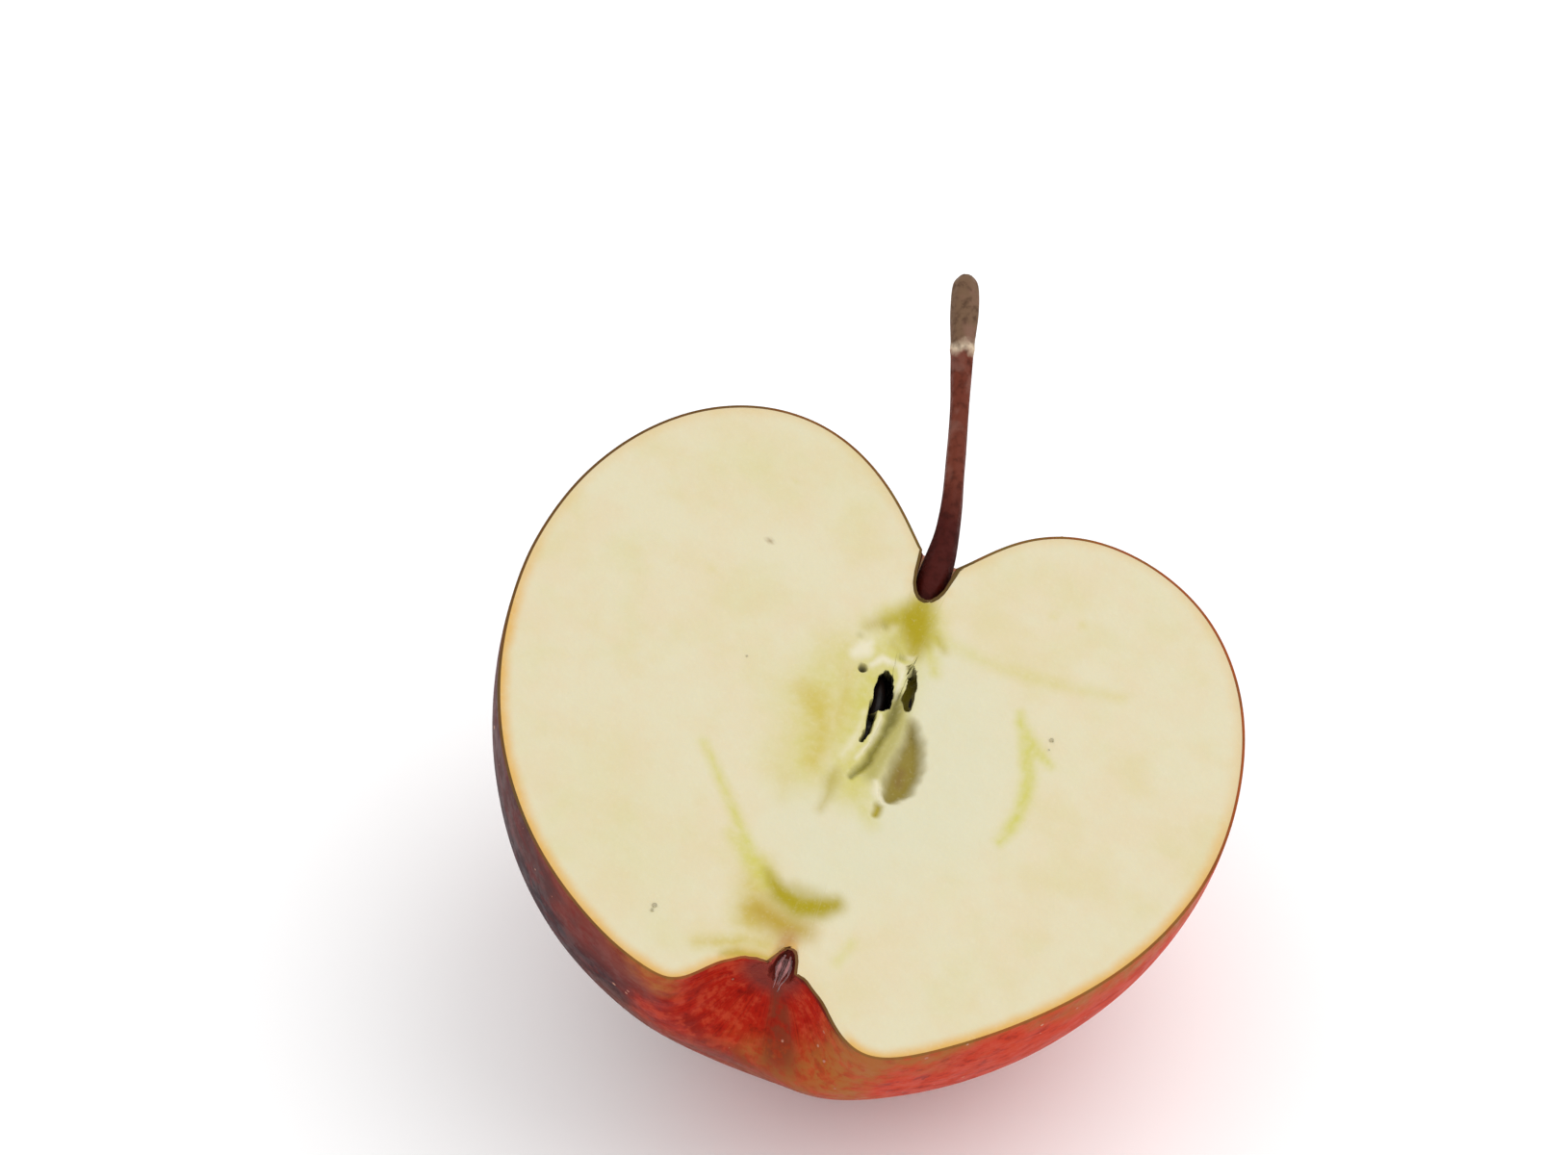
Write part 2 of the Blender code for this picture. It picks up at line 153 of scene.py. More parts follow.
FACE_MARKS = [
    # The pale greenish heart inside the core line
    mark("pale", [(3, 9, 4.5), (7, 2, 7), (7, -4, 7), (3, -12, 5)], soft=5.0, strength=0.9),
    mark("pale", [(-3, -11, 3.0), (1, -15, 3.0)], soft=4.0, strength=0.9),
    # Green yellow haze round the pockets
    mark("haze", [(-5.5, 8.0, 1.5), (-6.0, 2.0, 2.5), (-4.6, -4.5, 2.0)], soft=4.5, strength=0.78),
    mark("haze", [(-0.5, 12.6, 2.2), (-1.5, 7.0, 3.0), (-1.2, 0.0, 3.2), (0.2, -5.4, 2.0)],
         soft=2.6, strength=0.8),
    mark("haze", [(-2.6, 14.0, 1.2), (0.0, 15.0, 2.2), (2.6, 13.4, 0.8)], soft=1.6, strength=0.9),
    mark("haze", [(-4.8, 12.6, 0.4), (-4.6, 8.0, 0.8), (-4.0, 4.0, 1.0)], soft=1.8, strength=0.5),
    mark("haze", [(1.6, 12.6, 0.8), (3.2, 10.0, 0.4)], soft=1.2, strength=0.8),
    mark("haze", [(3.4, 13.7, 0.4), (9.1, 13.2, 0.4), (14.8, 13.8, 0.3), (21.0, 15.2, 0.1)],
         soft=1.3, strength=0.5),
    mark("haze", [(2.0, -7.2, 0.8), (3.2, -8.6, 0.4)], soft=1.4, strength=0.6),
    mark("gold", [(-7.6, 2.8, 0.6), (-6.2, 2.0, 1.3), (-5.0, 0.2, 0.9), (-4.3, -2.0, 0.8),
                  (-4.1, -4.6, 0.5)], soft=1.5, strength=0.85),
    mark("gold", [(-4.6, 6.6, 0.3), (-3.7, 3.6, 0.5), (-3.6, 0.6, 0.5)], soft=1.0, strength=0.6),
    mark("gold", [(-6.0, -7.0, 0.3), (-5.6, -9.5, 0.3)], soft=1.4, strength=0.3),
    # Vascular lines
    mark("vein", [(12.4, 9.3, 0.1), (12.8, 8.1, 0.35), (14.3, 6.5, 0.5), (15.7, 5.5, 0.45),
                  (17.0, 4.8, 0.15)], soft=0.9, depth=0.05),
    mark("vein", [(13.6, 6.9, 0.4), (14.5, 5.1, 0.6), (15.4, 2.8, 0.55), (15.8, 0.4, 0.5),
                  (15.8, -1.5, 0.4), (15.7, -2.9, 0.5), (15.1, -5.3, 0.2)], soft=0.9, depth=0.05),
    mark("vein", [(-14.5, -6.9, 0.1), (-12.2, -9.4, 0.2), (-8.7, -13.5, 0.3), (-5.4, -17.2, 0.4),
                  (-3.6, -18.8, 0.6)], soft=0.9, depth=0.05),
    mark("vein", [(5.9, -21.4, 0.25), (5.2, -24.2, 0.3)], soft=0.9, strength=0.55),
    mark("vein", [(-8.6, -15.2, 0.3), (-5.4, -17.4, 0.9), (-4.2, -18.2, 0.9)], soft=1.2,
         strength=0.8),
    # Tan tissue behind the blossom end, mossy tissue beside the groove
    mark("gold", [(-4.8, -17.6, 0.8), (-4.5, -20.0, 1.4), (-3.8, -23.0, 1.6)], soft=2.0, strength=0.9),
    mark("tan", [(-3.2, -22.0, 1.2), (-1.0, -22.4, 1.4), (1.2, -22.2, 0.9)], soft=1.6),
    mark("haze", [(-22.0, 24.0, 3.0), (-12.0, 28.5, 3.0)], soft=6.0, strength=0.14),
    mark("haze", [(-22.0, -14.0, 3.0), (-16.0, -22.0, 4.0)], soft=6.0, strength=0.16),
    mark("gold", [(-7.5, -27.6, 0.3), (-4.0, -25.9, 0.8), (-1.5, -25.0, 0.8)], soft=1.2, strength=0.9),
    mark("moss", [(1.5, 5.4, 0.5), (1.9, 3.2, 1.0), (1.9, 0.0, 0.9), (1.4, -3.4, 0.8)],
         soft=0.9, strength=0.85),
    # Olive tissue at the stem's foot, the smile over the blossom end and the spots by the core
    mark("olive", [(-0.4, 16.4, 1.2), (-0.4, 14.9, 1.8), (0.4, 12.9, 1.4), (0.7, 11.2, 0.6)],
         soft=1.2),
    mark("olive", [(-1.6, 14.4, 1.1), (-3.0, 13.4, 0.7), (-4.4, 12.2, 0.2)], soft=1.1, strength=0.75),
    mark("olive", [(1.2, 14.4, 0.6), (2.4, 13.6, 0.3), (3.4, 12.6, 0.1)], soft=0.8, strength=0.6),
    mark("olive", [(-1.2, 12.8, 0.3), (-1.6, 11.3, 0.3), (-0.6, 10.9, 0.2)], soft=0.8, strength=0.5),
    mark("olive", [(-4.0, -17.7, 0.2), (-3.2, -18.5, 0.6), (-2.0, -19.4, 1.1), (0.0, -19.9, 1.3),
                   (1.8, -19.2, 1.2), (3.0, -18.3, 0.8)], soft=1.0, depth=0.10),
    mark("olive", [(-1.0, -18.6, 0.8), (0.8, -18.5, 0.8)], soft=1.2, strength=0.65),
    mark("olive", [(-4.9, -27.7, 0.2), (-3.8, -27.1, 0.35), (-2.2, -26.8, 0.35), (-0.9, -26.5, 0.25)],
         soft=0.6, strength=0.75),
    mark("olive", [(-1.8, -4.7, 0.3), (-1.8, -5.8, 0.6), (-1.6, -7.2, 0.3), (-1.8, -9.2, 0.1)],
         soft=1.0, strength=0.7),
    mark("olive", [(3.2, -6.5, 0.35), (3.25, -7.3, 0.35)], soft=0.45, depth=0.45),
    mark("olive", [(0.9, 0.6, 0.3), (0.75, -1.6, 0.4), (0.3, -3.6, 0.3)], soft=0.6, strength=0.55),
    mark("orange", [(0.2, -23.5, 0.7), (0.1, -24.4, 0.5)], soft=0.9, strength=0.9),
    mark("brown", [(-0.1, -25.1, 0.2), (0.1, -25.5, 0.15)], soft=0.5, strength=0.8),
    mark("brown", [(1.35, -24.8, 0.2), (1.5, -25.3, 0.15)], soft=0.35, strength=0.95),
    # Parchment dish of the second pocket, its tan darkened by painted shade of the hollow
    mark("husk", [(3.2, 3.6, 0.2), (4.0, 1.6, 0.8), (4.3, -1.0, 1.35), (4.2, -3.4, 1.3),
                  (3.9, -4.7, 0.7)], soft=0.75, depth=1.25),
    mark("brown", [(3.9, -1.2, 0.25), (4.1, -2.6, 0.3)], soft=0.7, strength=0.7),
    # Cream walls that stand up between the pockets
    mark("cream", [(-4.6, 8.7, 0.5), (-3.9, 9.5, 0.9), (-3.6, 10.5, 0.3)], soft=0.6, depth=-0.10),
    mark("cream", [(-2.6, 8.2, 0.3), (-1.9, 9.2, 0.4), (-0.3, 9.2, 0.3)], soft=0.4, depth=-0.12),
    mark("cream", [(0.15, 9.3, 0.3), (0.45, 8.2, 0.28), (0.62, 6.7, 0.18), (0.80, 5.6, 0.05)],
         soft=0.2, depth=-0.15),
    mark("cream", [(0.00, 3.1, 0.20), (0.25, 1.8, 0.28), (0.10, -0.2, 0.25), (-0.5, -2.4, 0.15)],
         soft=0.35, depth=-0.10, strength=0.85),
    mark("cream", [(-1.5, 3.0, 0.10), (-1.35, 0.6, 0.25), (-1.5, -1.2, 0.4), (-1.9, -2.6, 0.2)],
         soft=0.6, depth=-0.05, strength=0.7),
    mark("cream", [(2.1, -4.1, 0.2), (2.6, -5.2, 0.35), (3.6, -5.8, 0.25)], soft=0.5, depth=-0.10),
    mark("cream", [(0.60, 10.5, 0.25)], soft=0.3, depth=-0.08),
    mark("cream", [(-2.03, 13.03, 0.2)], soft=0.5, strength=0.4),
    # Painted shade along the groove between the two pockets, and small specks of painted shade in
    # dimples round the core
    mark("groove", [(0.95, 6.2, 0.15), (1.05, 4.8, 0.45), (1.15, 3.4, 0.55), (1.05, 1.6, 0.30),
                    (0.80, -0.4, 0.25), (0.6, -2.4, 0.30), (-0.3, -4.4, 0.15)],
         soft=0.55, depth=0.55, strength=0.85),
    mark("groove", [(-0.25, 10.1, 0.2)], soft=0.4, depth=0.2, strength=0.7),
    mark("groove", [(-2.9, 12.9, 0.2)], soft=0.5, depth=0.1, strength=0.4),
    mark("groove", [(-4.8, 10.9, 0.2)], soft=0.5, depth=0.1, strength=0.3),
    # Dots and specks of the flesh
    mark("brown", [(-16.5, 17.3, 0.18)], soft=0.35, strength=0.8, depth=0.06),
    mark("haze", [(-16.6, 24.9, 0.2)], soft=0.8, strength=0.5),
    mark("haze", [(-20.6, 11.9, 0.2)], soft=0.9, strength=0.45),
    mark("haze", [(14.8, 21.4, 0.2)], soft=0.8, strength=0.5),
    mark("haze", [(11.9, 21.2, 0.2)], soft=0.8, strength=0.4),
    # Crescent pocket, seed pocket with its tail, and the pin hole, each painted dark inside as shade:
    # dark olive in the crescent, near black in the seed pocket and the pin hole
    mark("crescent", [(0.95, 9.5, 0.22), (1.45, 8.6, 0.40), (1.80, 7.3, 0.48), (1.85, 6.0, 0.55),
                      (2.2, 5.0, 0.35)], soft=0.16, depth=1.35, bulge=0.22, lean=-16.0),
    mark("pocket", [(-1.02, 7.9, 0.30), (-0.85, 7.2, 0.72), (-0.55, 5.8, 0.95), (-0.30, 4.6, 0.82),
                    (-0.25, 4.2, 0.55)], soft=0.12, depth=4.7, bulge=0.55, lean=14.0),
    mark("pocket", [(-0.92, 4.1, 0.40), (-0.72, 2.7, 0.33), (-0.52, 1.3, 0.24), (-0.75, -0.3, 0.12)],
         soft=0.12, depth=1.6),
    mark("pocket", [(-3.30, 7.48, 0.36)], soft=0.2, depth=1.0, strength=0.85),
]
MARK_KINDS = ["pale", "haze", "gold", "vein", "tan", "moss", "olive", "orange", "husk", "brown",
              "cream", "groove", "crescent", "pocket"]
STREAKY_KINDS = ("pale", "haze", "gold", "vein")

# Slow waves left by the knife, and the flesh's open grain
KNIFE_WAVE = 0.05
KNIFE_WAVE_SIZE = 9.0
GRAIN_HEIGHT = 0.018
GRAIN_SIZE = 0.9

# The stem's middle line from its foot to its tip: across, along, up and thickness
StemPoint = namedtuple("StemPoint", "x y z thickness")
STEM = [
    StemPoint(-0.45, 17.5, -1.8, 0.9),
    StemPoint(-0.45, 18.1, -1.7, 1.9),
    StemPoint(-0.45, 19.3, -1.7, 2.8),
    StemPoint(-0.45, 21.0, -1.6, 3.3),
    StemPoint(-0.55, 23.2, -1.5, 3.2),
    StemPoint(-0.90, 26.2, -1.0, 2.6),
    StemPoint(-1.60, 29.5, -0.3, 2.2),
    StemPoint(-2.90, 34.0, 0.6, 2.0),
    StemPoint(-4.50, 39.2, 1.9, 2.0),
    StemPoint(-5.60, 42.5, 2.8, 2.3),
    StemPoint(-6.50, 44.9, 3.8, 2.5),
    StemPoint(-7.60, 48.1, 4.9, 3.0),
    StemPoint(-8.50, 50.6, 5.7, 2.7),
    StemPoint(-8.85, 51.6, 6.0, 1.2),
]
STEM_STEPS = 14
STEM_SIDES = 40
STEM_RIDGES = 7
STEM_RIDGE_HEIGHT = 0.05
STEM_BARK_HEIGHT = 0.06
STEM_BARK_AROUND = 1.6 / 1.1
STEM_BARK_ALONG = 9.0 / 1.1
STEM_TWIST = 5.0
STEM_RELIEF_RADIUS = 0.8
STEM_RING_PLACE = 0.785
STEM_RING_WIDTH = 0.012
STEM_RING_HEIGHT = 0.10

# Seeds: centre, depth below the cut face, half sizes, turn and lean in degrees
Seed = namedtuple("Seed", "node x y depth half_width half_length half_depth turn lean")
SEEDS = [
    Seed("seed_main", -1.05, 5.9, 2.3, 1.05, 2.9, 1.65, 11.0, 14.0),
    Seed("seed_side", 2.10, 7.0, 1.95, 0.60, 1.9, 0.75, 14.0, -16.0),
]
SEED_TAPER = 0.35
SEED_SIDES = 48
SEED_RINGS = 36
SEED_FURROWS = 18
SEED_FURROW_DEPTH = 0.02

# The dry flower in its tube: folded sepals with dead threads between them
TUFT_ACROSS = 0.8
TUFT_DEPTH = 0.95
TUFT_FOOT = -25.0
TUFT_LENGTH = 3.7
TUFT_RADIUS = 0.8
SEPAL_COUNT = 5
SEPAL_WIDTH = 0.80
SEPAL_THICKNESS = 0.10
SEPAL_STEPS = 14
SEPAL_COLUMNS = 7
THREAD_COUNT = 12
THREAD_RADIUS = 0.05
THREAD_LEAN = 0.12
THREAD_RING = 0.22
THREAD_FOOT = 0.3
THREAD_SHARE = 0.75

# The camera: where it looks from, and the pixel of the 1629 x 1200 frame that the core falls on
FRAME_WIDTH = 1629
FRAME_HEIGHT = 1200
CORE_PIXEL = (905, 770)
CORE_ACROSS = 0.17
CAMERA_AZIMUTH = math.radians(19.9)
CAMERA_ELEVATION = math.radians(44.0)
CAMERA_DISTANCE = 520.0
LENS = 125.0
SENSOR = 36.0


class FleshSettings(bpy.types.PropertyGroup):
    """Sizes and colours of the cut face."""

    base: colour_setting("Flesh", "Colour of the open flesh", 230, 221, 186)
    warm: colour_setting("Warm flesh", "Colour of the riper patches", 231, 217, 180)
    pale: colour_setting("Heart", "Colour inside the core line", 226, 222, 190)
    haze: colour_setting("Haze", "Green yellow colour round the pockets", 208, 199, 78)
    gold: colour_setting("Gold", "Warm yellow beside the pockets", 208, 187, 82)
    vein: colour_setting("Vein", "Colour of the vascular lines", 208, 203, 76)
    tan: colour_setting("Tan tissue", "Colour behind the blossom end", 190, 160, 52)
    moss: colour_setting("Moss tissue", "Colour beside the groove", 178, 168, 86)
    olive: colour_setting("Olive tissue", "Colour at the two ends of the core", 176, 158, 2)
    orange: colour_setting("Orange tissue", "Colour above the dry flower", 184, 134, 58)
    # The husk's tan is the parchment's own colour darkened by painted shade of the hollow dish.
    husk: colour_setting("Husk", "Colour of the parchment in the dish", 152, 134, 48)
    brown: colour_setting("Brown spots", "Colour of bruised spots", 136, 102, 56)
    cream: colour_setting("Pocket walls", "Colour of the raised walls", 236, 228, 196)
    # The groove's dark olive is painted shade in the groove and in the small dimples round the core.
    groove: colour_setting("Groove", "Colour of the groove between pockets", 116, 108, 34)
    # The crescent's dark olive is painted shade on the pocket's walls.
    crescent: colour_setting("Second pocket", "Colour inside the crescent", 104, 92, 20)
    # The near black is painted shade deep in the seed pocket and the pin hole.
    pocket: colour_setting("Seed pocket", "Colour deep in the seed pocket", 16, 6, 4)
    fringe: colour_setting("Fringe", "Colour just inside the skin", 231, 176, 76)
    fringe_width: FloatProperty(name="Fringe width", description="How far the fringe reaches in, mm",
                                default=1.2, min=0.0)


class SkinSettings(bpy.types.PropertyGroup):
    """Sizes and colours of the skin."""

    thickness: FloatProperty(name="Thickness", description="Thickness of the skin",
                             default=0.28 * MM, unit="LENGTH")
    crimson: colour_setting("Crimson", "Main colour of the skin", 184, 30, 12)
    sienna: colour_setting("Sienna", "Brown red close to the left rim", 138, 40, 18)
    # Plum is partly the sun side's own dark red and partly painted shade, darkest under the left rim
    # where the skin turns from the light.
    plum: colour_setting("Plum", "Darkest colour, on the side that saw the sun", 42, 12, 24)
    # The bloom is partly the skin's waxy bloom and partly a painted sheen of reflected light on the
    # grazing left side.
    bloom: colour_setting("Bloom", "Waxy grey on the dark side near the rim", 116, 66, 60)
    # Russet also darkens the skin further under the front left, partly as painted shade.
    russet: colour_setting("Russet", "Dull streak below the dry flower", 122, 56, 34)
    wine: colour_setting("Wine", "Dark streaks from end to end", 120, 10, 4)
    # On the right, where the light falls, the ember is partly the skin's own colour and partly painted
    # light.
    ember: colour_setting("Ember", "Bright orange red of the shaded side", 208, 58, 24)
    blush: colour_setting("Blush", "Light red flecks of the blossom basin", 210, 78, 48)
    ochre: colour_setting("Ochre", "Colour of the netting and the rim", 176, 102, 46)
    olive: colour_setting("Olive", "Colour deep in the stem cavity", 118, 96, 44)
    # Round the stem's foot the maroon is painted shade in the stem cavity; it also draws the brown rim
    # on the basin's right.
    maroon: colour_setting("Maroon", "Colour round the stem's foot", 66, 22, 14)
    umber: colour_setting("Umber", "Colour round the dry flower", 126, 58, 50)
    speck: colour_setting("Speck", "Colour of the breathing pores", 206, 150, 120)
    speck_count: FloatProperty(name="Speck density", description="Pores to a square centimetre",
                               default=7.0, min=0.0)
    speck_radius: FloatProperty(name="Speck radius", description="Radius of the largest pore",
                                default=0.24 * MM, unit="LENGTH")


class StemSettings(bpy.types.PropertyGroup):
    """Colours of the stem from its foot to its tip."""

    # The foot's dark colour is partly the stem's own and partly painted shade where it sits in the
    # cavity.
    foot: colour_setting("Foot", "Colour at the foot", 72, 16, 8)
    middle: colour_setting("Middle", "Colour half way up", 112, 52, 36)
    ring: colour_setting("Ring", "Colour of the old scar ring", 222, 200, 172)
    tip: colour_setting("Tip", "Colour of the knob at the tip", 120, 92, 70)


class SmallPartSettings(bpy.types.PropertyGroup):
    """Colours of the seeds, the dry sepals and the beads of juice."""

    seed: colour_setting("Seed", "Colour of the seed coat", 24, 9, 5)
    sepal: colour_setting("Sepal", "Colour of the dry sepals", 176, 112, 112)
    bead_density: FloatProperty(name="Bead density", description="Juice beads to a square centimetre",
                                default=6.0, min=0.0)
    bead_radius: FloatProperty(name="Bead radius", description="Radius of the largest bead",
                               default=0.28 * MM, unit="LENGTH")
    seed_number: IntProperty(name="Scatter seed", description="Start of the random draws", default=4)


class StageSettings(bpy.types.PropertyGroup):
    """Light and floor."""

    floor: FloatVectorProperty(name="Floor", description="Colour of the floor",
                               subtype="COLOR", default=(0.98, 0.98, 0.98))
    sky_strength: FloatProperty(name="Sky", description="Strength of the even light", default=0.80)
    key_power: FloatProperty(name="Key light", description="Power of the large soft light in watts",
                             default=3.2)
    fill_power: FloatProperty(name="Fill light", description="Power of the light on the left in watts",
                              default=0.6)


# Shape of the fruit, worked on whole arrays of points

def side_sizes(around):
    """The profile sizes at angles round the axis: 0 is the right side, 180 the left."""
    right = (1.0 + np.cos(around)) / 2.0
    sine = np.abs(np.sin(around))
    back = sine ** BACK_POWER
    side = Side(*(r * right + l * (1.0 - right) for r, l in zip(RIGHT_SIDE, LEFT_SIDE)))
    return side._replace(radius=side.radius * (1.0 + BACK_FULLNESS * back),
                         middle=side.middle + BACK_SHIFT * back,
                         base=side.base + BACK_BASE_RISE * sine ** BACK_BASE_POWER)


def smooth_step(value):
    value = np.clip(value, 0.0, 1.0)
    return value * value * (3.0 - 2.0 * value)


def dome(share, power):
    return np.sqrt(np.maximum(1.0 - share ** power, 0.0))


def shoulder_height(side, out):
    crown = side.middle + side.shoulder * dome(out / side.radius, side.shoulder_power)
    pit = side.middle + side.shoulder - CAVITY_FLOOR
    height = crown - pit * np.exp(-(out / side.cavity) ** side.cavity_power)
    share = smooth_step(out / SOCKET_RADIUS)
    return SOCKET_FLOOR * (1.0 - share) + height * share


def base_height(side, out, around):
    crown = side.middle - side.base * dome(out / side.radius, side.base_power)
    pit = BASIN_FLOOR - side.middle + side.base
    rib = RIB_HEIGHT * np.sin(RIB_COUNT * around)
    rib = rib * np.exp(-((out - RIB_RING) / RIB_SPREAD) ** 2)
    fold = FOLD_DEPTH * (0.5 + 0.5 * np.sin(FOLD_COUNT * around + 2.0 * np.sin(3.0 * around)))
    fold = fold * np.exp(-((out - FOLD_RING) / FOLD_SPREAD) ** 2)
    return crown + pit * np.exp(-(out / side.basin) ** side.basin_power) + rib + fold


def cup_wall(cup, x, z, way):
    """How far along the axis a cup reaches over each point, none outside it."""
    share = ((x - cup.x) / cup.half_width) ** 2 + ((z + cup.depth) / cup.half_depth) ** 2
    reach = cup.half_length * np.sqrt(np.maximum(1.0 - share, 0.0))
    return np.where(share < 1.0, cup.y + way * reach, -way * np.inf)


def fruit_surface(turn, around):
    """Points of the skin: `turn` runs from the stem (0) to the blossom end (pi)."""
    side = side_sizes(around)
    out = side.radius * np.sin(turn)
    x = out * np.cos(around)
    z = -out * np.sin(around) - CUT_OFFSET
    top = np.minimum(shoulder_height(side, out), cup_wall(STEM_CUP, x, z, -1.0))
    base = np.maximum(base_height(side, out, around), cup_wall(FLOWER_TUBE, x, z, 1.0))
    return np.stack([x, np.where(turn <= math.pi / 2.0, top, base), z], axis=-1)


def ring_turns():
    """Turns of the skin's rings, with one ring just where the cut meets the axis's front."""
    cusp = math.asin(CUT_OFFSET / float(side_sizes(-math.pi / 2.0).radius))
    cap = np.linspace(0.0, cusp, CAP_RINGS + 1)[:-1]
    side = cusp + (math.pi / 2.0 - cusp) * np.linspace(0.0, 1.0, SIDE_RINGS) ** RING_EASE
    top = np.concatenate([cap, side])
    return np.concatenate([top, math.pi - top[-2::-1]])


def rim_angles(turn):
    """The angles round the axis between which each ring lies under the cut."""
    right = np.full_like(turn, -0.1)
    left = np.full_like(turn, math.pi + 0.1)
    sine = np.maximum(np.sin(turn), 1e-9)
    for _ in range(30):
        right = -np.arcsin(np.minimum(CUT_OFFSET / (side_sizes(right).radius * sine), 1.0))
        left = math.pi + np.arcsin(np.minimum(CUT_OFFSET / (side_sizes(left).radius * sine), 1.0))
    return right, left


def unit(vectors):
    length = np.linalg.norm(vectors, axis=-1, keepdims=True)
    return vectors / np.maximum(length, 1e-12)


SkinGrid = namedtuple("SkinGrid", "points normals turn around first_open last_open")


def skin_grid():
    """The skin as rings of points, with outward normals that stay in the cut at the rim."""
    turns = ring_turns()
    right, left = rim_angles(turns)
    share = np.linspace(0.0, 1.0, RING_POINTS)
    around = right[:, None] + (left - right)[:, None] * share[None, :]
    turn = np.repeat(turns[:, None], RING_POINTS, axis=1)
    points = fruit_surface(turn, around)
    normals = unit(np.cross(np.gradient(points, axis=0), np.gradient(points, axis=1)))
    middle = np.array([0.0, 0.0, -CUT_OFFSET])
    if np.sum(normals[SIDE_RINGS] * (points[SIDE_RINGS] - middle)) < 0.0:
        normals = -normals
    normals[0] = (0.0, 1.0, 0.0)
    normals[-1] = (0.0, -1.0, 0.0)
    seam = unit(normals[:, 0] + normals[:, -1])
    first_open = CAP_RINGS
    last_open = len(turns) - 1 - CAP_RINGS
    for row in [*range(first_open + 1), *range(last_open, len(turns))]:
        normals[row, 0] = seam[row]
        normals[row, -1] = seam[row]
    dents = DENT_DEPTH * dent_noise(points)
    points = points - normals * dents[..., None]
    for row in range(first_open, last_open + 1):
        for column in (0, -1):
            normals[row, column, 2] = 0.0
            points[row, column, 2] = 0.0
    normals = unit(normals)
    return SkinGrid(points, normals, turn, around, first_open, last_open)


def dent_noise(points):
    """Soft dents, 0 to 1, over the skin."""
    flat = points.reshape(-1, 3) / DENT_SIZE
    values = [0.5 + 0.5 * noise.noise(Vector(point)) for point in flat]
    return np.clip(np.array(values), 0.0, 1.0).reshape(points.shape[:2])


def posed(points_model):
    """The matrix from the fruit's millimetres to the frame, set by the CAD half's own box."""
    turn = Matrix.Rotation(STEM_RISE, 4, "X") @ Matrix.Rotation(FACE_ROLL, 4, "Y")
    scaled = turn @ Matrix.Scale(MM, 4)
    world = points_model.reshape(-1, 3) @ np.array(scaled.to_3x3()).T
    low, high = (np.array(corner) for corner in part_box("fruit_half"))
    shift = (low + high) / 2.0 - (world.min(axis=0) + world.max(axis=0)) / 2.0
    shift[2] = high[2] - world[:, 2].max()
    return Matrix.Translation(Vector(shift)) @ scaled


SKIN = skin_grid()
POSE = posed(SKIN.points)
INNER_COLUMNS = np.unique(np.linspace(0, RING_POINTS - 1, INNER_POINTS).astype(int))


def inside_skin(depth):
    """Points this deep under the skin, on fewer columns."""
    return SKIN.points[:, INNER_COLUMNS] - SKIN.normals[:, INNER_COLUMNS] * depth


# Mesh helpers

def grid_faces(start, rows, columns):
    """Quads of a grid of points stored row by row from the index `start`."""
    faces = []
    for row in range(rows - 1):
        for column in range(columns - 1):
            a = start + row * columns + column
            faces.append((a, a + 1, a + columns + 1, a + columns))
    return faces


def add_values(mesh, name, values):
    """Stores one number or one vector for each point of the mesh."""
    values = np.asarray(values, dtype=np.float32)
    kind, field = ("FLOAT", "value") if values.ndim == 1 else ("FLOAT_VECTOR", "vector")
    mesh.attributes.new(name, kind, "POINT").data.foreach_set(field, values.ravel())


def close_up(mesh, merge=None):
    """Joins points closer than `merge` and turns every face outwards."""
    bm = bmesh.new()
    bm.from_mesh(mesh)
    if merge:
        bmesh.ops.remove_doubles(bm, verts=bm.verts, dist=merge)
    bmesh.ops.recalc_face_normals(bm, faces=bm.faces)
    bm.to_mesh(mesh)
    bm.free()


def built_mesh(name, points, faces, values=None, merge=0.0005, sharp=None, finishes=None):
    """A mesh from millimetre points, closed up, turned outwards and laid in the frame."""
    mesh = bpy.data.meshes.new(name)
    mesh.from_pydata([tuple(point) for point in points], [], faces)
    if finishes is not None:
        mesh.polygons.foreach_set("material_index", finishes)
    for key, column in (values or {}).items():
        add_values(mesh, key, column)
    close_up(mesh, merge)
    mesh.transform(POSE)
    mesh.shade_smooth()
    if sharp:
        mesh.set_sharp_from_angle(angle=math.radians(sharp))
    return mesh


def keep_above(mesh, height):
    """Flattens the round back where it rests, at this height over the floor in metres."""
    for vert in mesh.vertices:
        vert.co.z = max(vert.co.z, height)


def new_piece(name, mesh, *finishes):
    piece = bpy.data.objects.new(name, mesh)
    bpy.context.scene.collection.objects.link(piece)
    for finish in finishes:
        mesh.materials.append(finish)
    return piece


def hand_over(piece, slot, *nodes):
    """Ties a finished piece to the body and hides the CAD nodes that it stands in for."""
    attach(piece, "root")
    if nodes:
        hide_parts(*nodes)


# Node helpers

